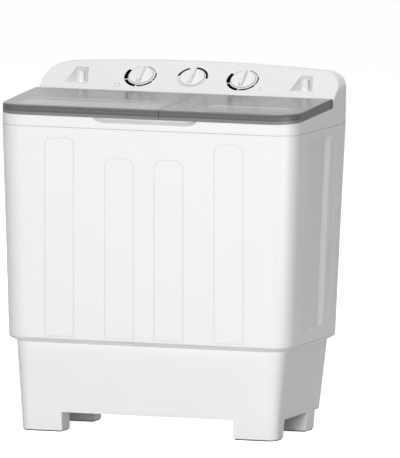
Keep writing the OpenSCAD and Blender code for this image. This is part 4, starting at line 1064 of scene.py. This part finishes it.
dials = {"radius": 25, "gap": 0.8, "bore": 3.05, "socket": 7, "edge": 0.5,
         "rim": [(25, 1.0), (24.85, 1.35), (24.4, 1.65), (23.6, 1.95), (22, 2.35), (19, 2.75),
                 (0, 3.0)],  # radius, height
         "bar": [(1.2, 12.8, 45), (5.0, 10.2, 43.4), (8.4, 7.8, 41.8), (9.5, 6.2, 40.6),
                 (9.95, 4.2, 38.8)],  # height, width, length
         "rimPaintedShade": (2.2, 1.3),  # painted shade below this height, this near the rim
         "flank": (3.2, 2.4, 20), "flankPaintedShade": 0.18,  # painted shade on the grip sides: above, outside and within these
         "names": (("washTimerKnob", "wash_timer_dial", "wash_timer_knob", -1),
                   ("drainSelectorKnob", "drain_selector_dial", "drain_selector_knob", 0),
                   ("spinTimerKnob", "spin_timer_dial", "spin_timer_knob", 1))}
dialArcs = {  # clockwise from the top: start, stop, inner and outer radius, shade
    "timer": [(14, 66, 27.3, 29.1, "grey"), (70, 117, 27.9, 30.5, "black"), (121, 183, 28.0, 32.0, "black"),
              (188, 244, 26.9, 33.1, "black"), (248, 303, 25.4, 33.0, "black"),
              (306, 346, 27.2, 28.1, "pale")],
    "selector": [(277, 337, 26.8, 31.0, "black"), (3, 93, 26.6, 31.0, "black"),
                 (96, 274, 27.6, 28.5, "pale")]}
plainMarks = [(-1, (-40.5, -30.0), (5.2, 6.2)), (1, (40.0, -25.5), (3.2, 4.1))]  # rings beside the timers
printLayer = (0.02, 0.14)  # the print's foot and top above the dial face


def makeKnob(name, x, spec):
    r, low = spec["radius"], spec["gap"]
    knob = lathe(name, [(0.0, low), (r - 0.2, low)] + spec["rim"], segments=72)
    rings = [level(roundedBox(0, 0, wide, long, wide / 2 - 0.02, 8), z) for z, wide, long in spec["bar"]]
    carve(knob, loft("bar", rings), mode="UNION")
    roundEdges(knob, spec["edge"], 2, angle=50)
    carve(knob, prism("socket", ringOf(0, 0, spec["bore"]), -past, spec["socket"]))
    smooth(knob)
    lineTop, lineWide = spec["rimPaintedShade"]
    flankFoot, flankFrom, flankEnd = spec["flank"]

    # painted shade: a dark ring at the disc's rim and darker grip sides
    def shade(p):
        if p.z < lineTop and math.hypot(p.x, p.y) > r - lineWide:
            return 1.0
        onFlank = p.z > flankFoot and abs(p.x) > flankFrom and abs(p.y) < flankEnd
        return spec["flankPaintedShade"] if onFlank else 0.0

    markPaintedShading(knob, shade)
    for v in knob.data.vertices:
        v.co = Vector(onFace(x, v.co.x / mm, v.co.y / mm, v.co.z / mm)) * mm
    return knob


def arcBand(x, start, stop, inner, outer, centre=(0, 0)):
    steps = max(6, int((stop - start) / 3))
    lines = [arc(*centre, r, 90 - start, 90 - stop, steps) for r in (inner, outer)]
    spots = [onFace(x, across, up, out) for out in printLayer for line in lines for across, up in line]
    n = steps + 1
    faces = [(0, 2 * n, 3 * n, n), (steps, n + steps, 3 * n + steps, 2 * n + steps)]
    for i in range(steps):
        faces += [(2 * n + i, 2 * n + i + 1, 3 * n + i + 1, 3 * n + i), (i, n + i, n + i + 1, i + 1),
                  (i, i + 1, 2 * n + i + 1, 2 * n + i), (n + i, 3 * n + i, 3 * n + i + 1, n + i + 1)]
    return addMesh("arcBand", spots, faces)


def makeMarks(step, bands, shade):
    x = step * face["pitch"]
    made = [arcBand(x, *band[:4]) for band in bands if band[4] == shade]
    if shade == "pale":
        made += [arcBand(x, 5, 355, *radii, centre) for side, centre, radii in plainMarks if side == step]
    return join(*made)


for name, bodyName, node, step in dials["names"]:
    place(makeKnob(name, step * face["pitch"], dials), bodyName, "white_plastic", node, paint=dialWhite)
    bands = dialArcs["selector" if step == 0 else "timer"]
    for shade in sorted({band[4] for band in bands}):
        marks = makeMarks(step, bands, shade)
        marks.name = name.replace("Knob", "Marks") + shade.capitalize()
        place(marks, "cabinet", "switch_plastic", paint=prints[shade])
print("dials made")


# hose stubs in the inlet recesses

stub = {"radius": 6.7, "bore": 4.5, "collar": 9, "collarDeep": 6, "shank": 12, "high": 21}


def makeStubs(spec):
    r, b, c, floor = spec["radius"], spec["bore"], spec["collar"], moulding["inletFloor"]
    foot, under, top = floor - spec["shank"], floor - spec["collarDeep"], floor + spec["high"]
    profile = [(b, foot), (r, foot), (r, under), (c, under), (c, floor - 0.2), (c - 0.6, floor + 0.2),
               (r + 0.5, floor + 0.2), (r, floor + 0.8), (r, top - 1), (r - 0.7, top), (b + 0.5, top),
               (b, top - 0.6)]
    spots = [(side * moulding["inletX"], moulding["inletY"]) for side in (-1, 1)]
    stubs = join(*[lathe("stub", profile, spot, 48) for spot in spots])
    stubs.name = "waterInletStubs"
    return smooth(stubs)


place(makeStubs(stub), "cabinet", "white_plastic", "water_inlet_stubs")
print("stubs made")


# service covers on the back, with their screws

covers = {"inset": 0.6, "plate": 2.6, "gap": 0.5, "corner": 2.6, "edge": 0.5,
          "lip": 11, "lipThick": 2.8, "lipCorner": 4, "lap": 0.2,
          "field": 9, "fieldDeep": 1.1, "fieldCorner": 7,
          "vent": (90, 5), "ventX": (-95, 95), "ventFoot": 277.5, "ventPitch": 13, "ventRows": 6,
          "ventSpan": (140, 190)}


def layLeaning(name, outline, start, stop):
    return wallPrism(name, outline, "back", start, stop)


def makeCover(name, lay, opening, spec, vents=False):
    x, z, w, h = opening[:4]
    out, inner = spec["inset"], spec["inset"] + spec["plate"]

    def sheet(label, grow, corner, steps, start, stop):
        return lay(label, roundedBox(x, z, w + 2 * grow, h + 2 * grow, corner, steps), start, stop)

    cover = sheet(name, -spec["gap"], spec["corner"], 4, out, inner)
    inwards = -spec["gap"] - spec["field"]
    carve(cover, sheet("field", inwards, spec["fieldCorner"], 6, -1, out + spec["fieldDeep"]))
    start = inner - spec["lap"]
    lip = sheet("lip", spec["lip"], spec["lipCorner"], 4, start, start + spec["lipThick"])
    carve(cover, lip, mode="UNION")
    if vents:
        wide, high = spec["vent"]
        slot = prism("ventSlot", roundedBox(0, 0, wide, high, high / 2 - 0.05, 5), *spec["ventSpan"], "y")
        rows = [spec["ventFoot"] + spec["ventPitch"] * i for i in range(spec["ventRows"])]
        spots = [((ventX, 0, row), unturned) for ventX in spec["ventX"] for row in rows]
        carve(cover, repeatAt("ventSlots", slot, spots))
    roundEdges(cover, spec["edge"], 2, angle=44)
    return smooth(cover)


def makeScrews(name, spots, tilt, spec):
    r, deep = spec["head"], spec["thick"]
    profile = [(0, -deep), (r, -deep), (r, -0.6), (r - 0.4, -0.25), (r * 0.6, -0.05), (0, 0)]
    head = lathe("screwHead", profile, segments=32)
    long, wide, low = spec["cross"]
    for a, b in ((long / 2, wide / 2), (wide / 2, long / 2)):
        carve(head, block("cross", (-a, -b, -low), (a, b, 1)))
    smooth(head)
    turned = [(spot, (-90 - tilt, turn, 0)) for spot, turn in zip(spots, spec["turns"])]
    return repeatAt(name, head, turned, finishes["steel"])


coverSpots = [(x, body["back"], z) for x, z in moulding["screws"]]
panelSpots = leanOn([(x, z, 0) for x, z in cabinet["screws"]], "back")
panelTilt = math.degrees(math.atan(body["backDraft"] / (body["seam"] - body["foot"])))
consoleCover = makeCover("consoleBackCover", layFlat, moulding["cover"], covers)
place(consoleCover, "cabinet", "white_plastic", "console_back_cover")
backPanel = makeCover("backPanel", layLeaning, cabinet["opening"], covers, vents=True)
place(backPanel, "cabinet", "white_plastic", "back_panel")
place(makeScrews("consoleCoverScrews", coverSpots, 0, screw), "cabinet", "steel", "console_cover_screws")
place(makeScrews("backPanelScrews", panelSpots, panelTilt, screw), "cabinet", "steel", "back_panel_screws")
print("back covers made")


# drain outlet and cord gland at the back of the base

outlet = {"bore": 9, "radius": 12, "start": 131, "end": 172, "flange": 148.6, "flangeThick": 3,
          "flangeRadius": 17, "barbs": 4, "barbStart": 153.5}
gland = {"bore": 3.6, "radius": 8, "start": 135, "end": 152, "flange": 4, "flangeRadius": 12}


def makeOutlet(spec):
    r, b, start, end = spec["radius"], spec["bore"], spec["start"], spec["end"]
    f, low, high = spec["flangeRadius"], spec["flange"], spec["flange"] + spec["flangeThick"]
    profile = [(b, start), (r, start), (r, low), (f - 0.5, low), (f, low + 0.5), (f, high - 0.5),
               (f - 0.5, high), (r + 0.6, high), (r - 1, high + 0.8)]
    pitch = (end - 1 - spec["barbStart"]) / spec["barbs"]
    for k in range(spec["barbs"]):
        y = spec["barbStart"] + k * pitch
        profile += [(r - 1.2, y), (r - 0.1, y + 0.5), (r, y + 0.9), (r - 1.2, y + pitch - 0.3)]
    profile += [(r - 1.4, end - 0.4), (r - 1.9, end), (b + 0.5, end), (b, end - 0.5)]
    return smooth(layAlongY(lathe("drainOutlet", profile, segments=56), *base["outlet"][:2]))


def makeGland(spec):
    r, b, f = spec["radius"], spec["bore"], spec["flangeRadius"]
    start, end, flange = spec["start"], spec["end"], spec["end"] - spec["flange"]
    profile = [(b, start), (r - 0.6, start), (r, start + 0.8), (r, flange), (f - 0.4, flange),
               (f, flange + 0.5), (f, end - 2.4), (f - 0.8, end - 1.8), (r + 0.6, end - 1.8), (r, end - 2.5),
               (r - 0.8, end - 2.5), (r - 0.8, end - 0.5), (r - 1.3, end), (b + 0.8, end), (b, end - 0.8)]
    return smooth(layAlongY(lathe("cordGland", profile, segments=48), *base["gland"][:2]))


place(makeOutlet(outlet), "cabinet", "tub_plastic", "drain_outlet")
place(makeGland(gland), "cabinet", "black_rubber", "cord_gland")
print("outlet and gland made")


# wash tub with its filter, overflow column and pulsator

tub = {"centre": (-117, -53), "size": (306, 206), "radius": 32, "leastRadius": 4,
       "section": [(-10, 250), (-3, 252), (0, 258), (0, 601), (6, 601), (6, 604), (-3, 604), (-3, 285),
                   (-4.5, 268), (-9, 258), (-16, 254), (-26, 253)],  # outwards from the size, height
       "shaftHole": 14, "shaftSpan": (240, 270), "port": (-40, 266, 11), "duct": (-226, 588, 9.3),
       "portSpan": (40, 70), "rib": (5, 1.6, 300, 560), "ribRoot": 0.8, "ribEdge": 0.6, "ribPitch": 34,
       "ribsFront": 7, "ribsSide": 4}
lint = {"x": (-170, -94), "y": (35, 47), "z": (440, 550), "corner": 7, "frontEdge": 2.0, "edge": 0.4,
        "pocket": (-132, 507.5, 66, 75, 4), "back": 2, "hole": (3, 4), "firstHole": (10, 37),
        "pitch": (7, 8), "count": 9, "gripDeep": 4, "grip": (14, 20, 6)}  # up from the foot, half sizes
column = {"x": (-66, -14), "y": (33, 47), "z": (253, 553), "corner": 7, "wall": 2.5, "cap": 20,
          "topEdge": 2.5, "edge": 0.4, "slot": (5, 26), "slotDeep": 4, "slotRows": (272, 506), "slots": 5,
          "pitch": 8}
agitator = {"holes": 24, "holeRing": 72, "holeRadius": 2, "holeSpan": (250, 275),
            "vanes": 6, "vaneFoot": 260.5,
            "dish": [(0, 273), (6, 273), (6, 259), (84, 259), (89, 261), (90, 263), (88.5, 265), (80, 265.2),
                     (62, 264.2), (48, 265.5), (36, 269), (27, 273.5), (19, 277.6), (10, 279), (0, 279)],
            "vane": [(14, 275, 5.5), (22, 282, 7), (34, 284.6, 8.4), (48, 285, 9), (58, 282, 8.8),
                     (68, 275, 8), (80, 266.5, 6)],  # distance from the middle, top, width
            "crest": [(0.86, 2.6), (0.6, 0.8)]}  # share of the width, depth below the top


def makeWashTub(spec):
    (cx, cy), (w, d), r, least = spec["centre"], spec["size"], spec["radius"], spec["leastRadius"]
    solid = loft("washTub", [level(roundedBox(cx, cy, w + 2 * g, d + 2 * g, max(r + g, least), 10), z)
                             for g, z in spec["section"]])
    carve(solid, prism("shaftHole", ringOf(cx, cy, spec["shaftHole"]), *spec["shaftSpan"]))
    for hole in ("port", "duct"):
        carve(solid, prism(hole, ringOf(*spec[hole]), *spec["portSpan"], "y"))
    wide, proud, low, high = spec["rib"]
    half, root = wide / 2, -spec["ribRoot"]
    rib = prism("rib", arc(0, 0, half, 0, 180, 8, proud) + [(-half, root), (half, root)], low, high)
    roundEdges(rib, spec["ribEdge"], 2, angle=50)
    inX, inY, pitch = w / 2 - body["wall"], d / 2 - body["wall"], spec["ribPitch"]
    spots = [((cx + pitch * i, cy - inY, 0), unturned) for i in spread(spec["ribsFront"])]
    for i in spread(spec["ribsSide"]):
        spots += [((cx + side * inX, cy + pitch * i, 0), (0, 0, side * 90)) for side in (-1, 1)]
    join(solid, repeatAt("tubRibs", rib, spots))
    return smooth(solid)


def makeLintFilter(spec):
    (x0, x1), (y0, y1), (z0, z1) = spec["x"], spec["y"], spec["z"]
    outline = roundedBox((x0 + x1) / 2, (z0 + z1) / 2, x1 - x0, z1 - z0, spec["corner"], 5)
    solid = prism("lintFilter", outline, y0, y1, "y")
    markEdges(solid, lambda p: p.y < y0 + 0.5)
    roundEdges(solid, spec["frontEdge"], 3)
    x, z, w, h, r = spec["pocket"]
    carve(solid, prism("pocket", roundedBox(x, z, w, h, r, 4), y0 - past, y1 - spec["back"], "y"))
    wide, tall = spec["hole"]
    hole = block("meshHole", (-wide / 2, y1 - 2 * spec["back"], -tall / 2), (wide / 2, y1 + past, tall / 2))
    xs = [x0 + spec["firstHole"][0] + spec["pitch"][0] * i for i in range(spec["count"])]
    zs = [z0 + spec["firstHole"][1] + spec["pitch"][1] * i for i in range(spec["count"])]
    carve(solid, repeatAt("meshHoles", hole, [((x, 0, z), unturned) for x in xs for z in zs]))
    up, rx, rz = spec["grip"]
    dent = arc((x0 + x1) / 2, z0 + up, rx, 0, 350, 35, rz)
    carve(solid, prism("gripDent", dent, y0 - past, y0 + spec["gripDeep"], "y"))
    roundEdges(solid, spec["edge"], 2, angle=60)
    return smooth(solid)


def makeColumn(spec):
    (x0, x1), (y0, y1), (z0, z1) = spec["x"], spec["y"], spec["z"]
    r, wall = spec["corner"], spec["wall"]
    outline = arc(x0 + r, y0 + r, r, 180, 270, 8) + arc(x1 - r, y0 + r, r, 270, 360, 8) + [(x1, y1), (x0, y1)]
    solid = prism("overflowColumn", outline, z0, z1)
    markEdges(solid, lambda p: p.z > z1 - 0.5)
    roundEdges(solid, spec["topEdge"], 3)
    inner = [(x0 + wall, y1 + 1), (x0 + wall, y0 + r), (x0 + r, y0 + wall), (x1 - r, y0 + wall),
             (x1 - wall, y0 + r), (x1 - wall, y1 + 1)]
    carve(solid, prism("inside", inner, z0 - 1, z1 - spec["cap"]))
    wide, high = spec["slot"]
    slotPlan = roundedBox(0, 0, wide, high, wide / 2 - 0.05, 5)
    slot = prism("slot", slotPlan, y0 - past, y0 + spec["slotDeep"], "y")
    xs = [(x0 + x1) / 2 + spec["pitch"] * i for i in spread(spec["slots"])]
    spots = [((x, 0, z), unturned) for x in xs for z in spec["slotRows"]]
    carve(solid, repeatAt("columnSlots", slot, spots))
    roundEdges(solid, spec["edge"], 2, angle=60)
    return smooth(solid)


def makePulsator(spec):
    dish = lathe("pulsatorDish", spec["dish"], tub["centre"], 96)
    rings = []
    for x, top, wide in spec["vane"]:
        half, foot = wide / 2, spec["vaneFoot"]
        right = [(half, foot)] + [(half * share, top - deep) for share, deep in spec["crest"]]
        left = [(-y, z) for y, z in reversed(right)]
        rings.append([(x, y, z) for y, z in left[-1:] + right + [(0, top)] + left[:-1]])
    vane = loft("vane", rings)
    carve(dish, repeatAt("vanes", vane, around(tub["centre"], spec["vanes"])), mode="UNION")
    hole = prism("hole", ringOf(spec["holeRing"], 0, spec["holeRadius"], 12), *spec["holeSpan"])
    carve(dish, repeatAt("dishHoles", hole, around(tub["centre"], spec["holes"], shift=0.5)))
    return smooth(dish, 40)


place(makeWashTub(tub), "cabinet", "tub_plastic", "wash_tub")
place(makeLintFilter(lint), "cabinet", "tub_plastic", "lint_filter")
place(makeColumn(column), "cabinet", "tub_plastic", "overflow_column")
place(makePulsator(agitator), "pulsator_drive", "tub_plastic", "pulsator")
print("wash tub made")


# spin basket with staggered holes

basket = {"centre": (160, -48), "around": 24, "rows": 8, "rowFoot": 300, "rowPitch": 32, "hole": 2.6,
          "holeSpan": (88, 98),
          "section": [(6, 258), (14, 258), (14, 262), (84, 262), (91, 264.5), (94, 272), (94, 560),
                      (93.2, 564.4), (91, 566), (87, 566), (85.2, 564.6), (85, 561), (85.2, 551.5), (87, 549),
                      (92.5, 545.5), (92.5, 273), (90, 266.5), (83, 264), (22, 264), (18.5, 268), (15.5, 280),
                      (14, 289), (13, 290), (6, 290)]}


def makeBasket(spec):
    solid = lathe("spinBasket", spec["section"], spec["centre"], 144)
    hole = prism("basketHole", ringOf(0, 0, spec["hole"], 10), *spec["holeSpan"], "x")
    spots = []
    for row in range(spec["rows"]):
        z = spec["rowFoot"] + spec["rowPitch"] * row
        spots += around(spec["centre"], spec["around"], z, 0.5 * (row % 2))
    carve(solid, repeatAt("basketHoles", hole, spots))
    return smooth(solid, 40)


place(makeBasket(basket), "spin_drive", "steel", "spin_basket")
print("spin basket made")
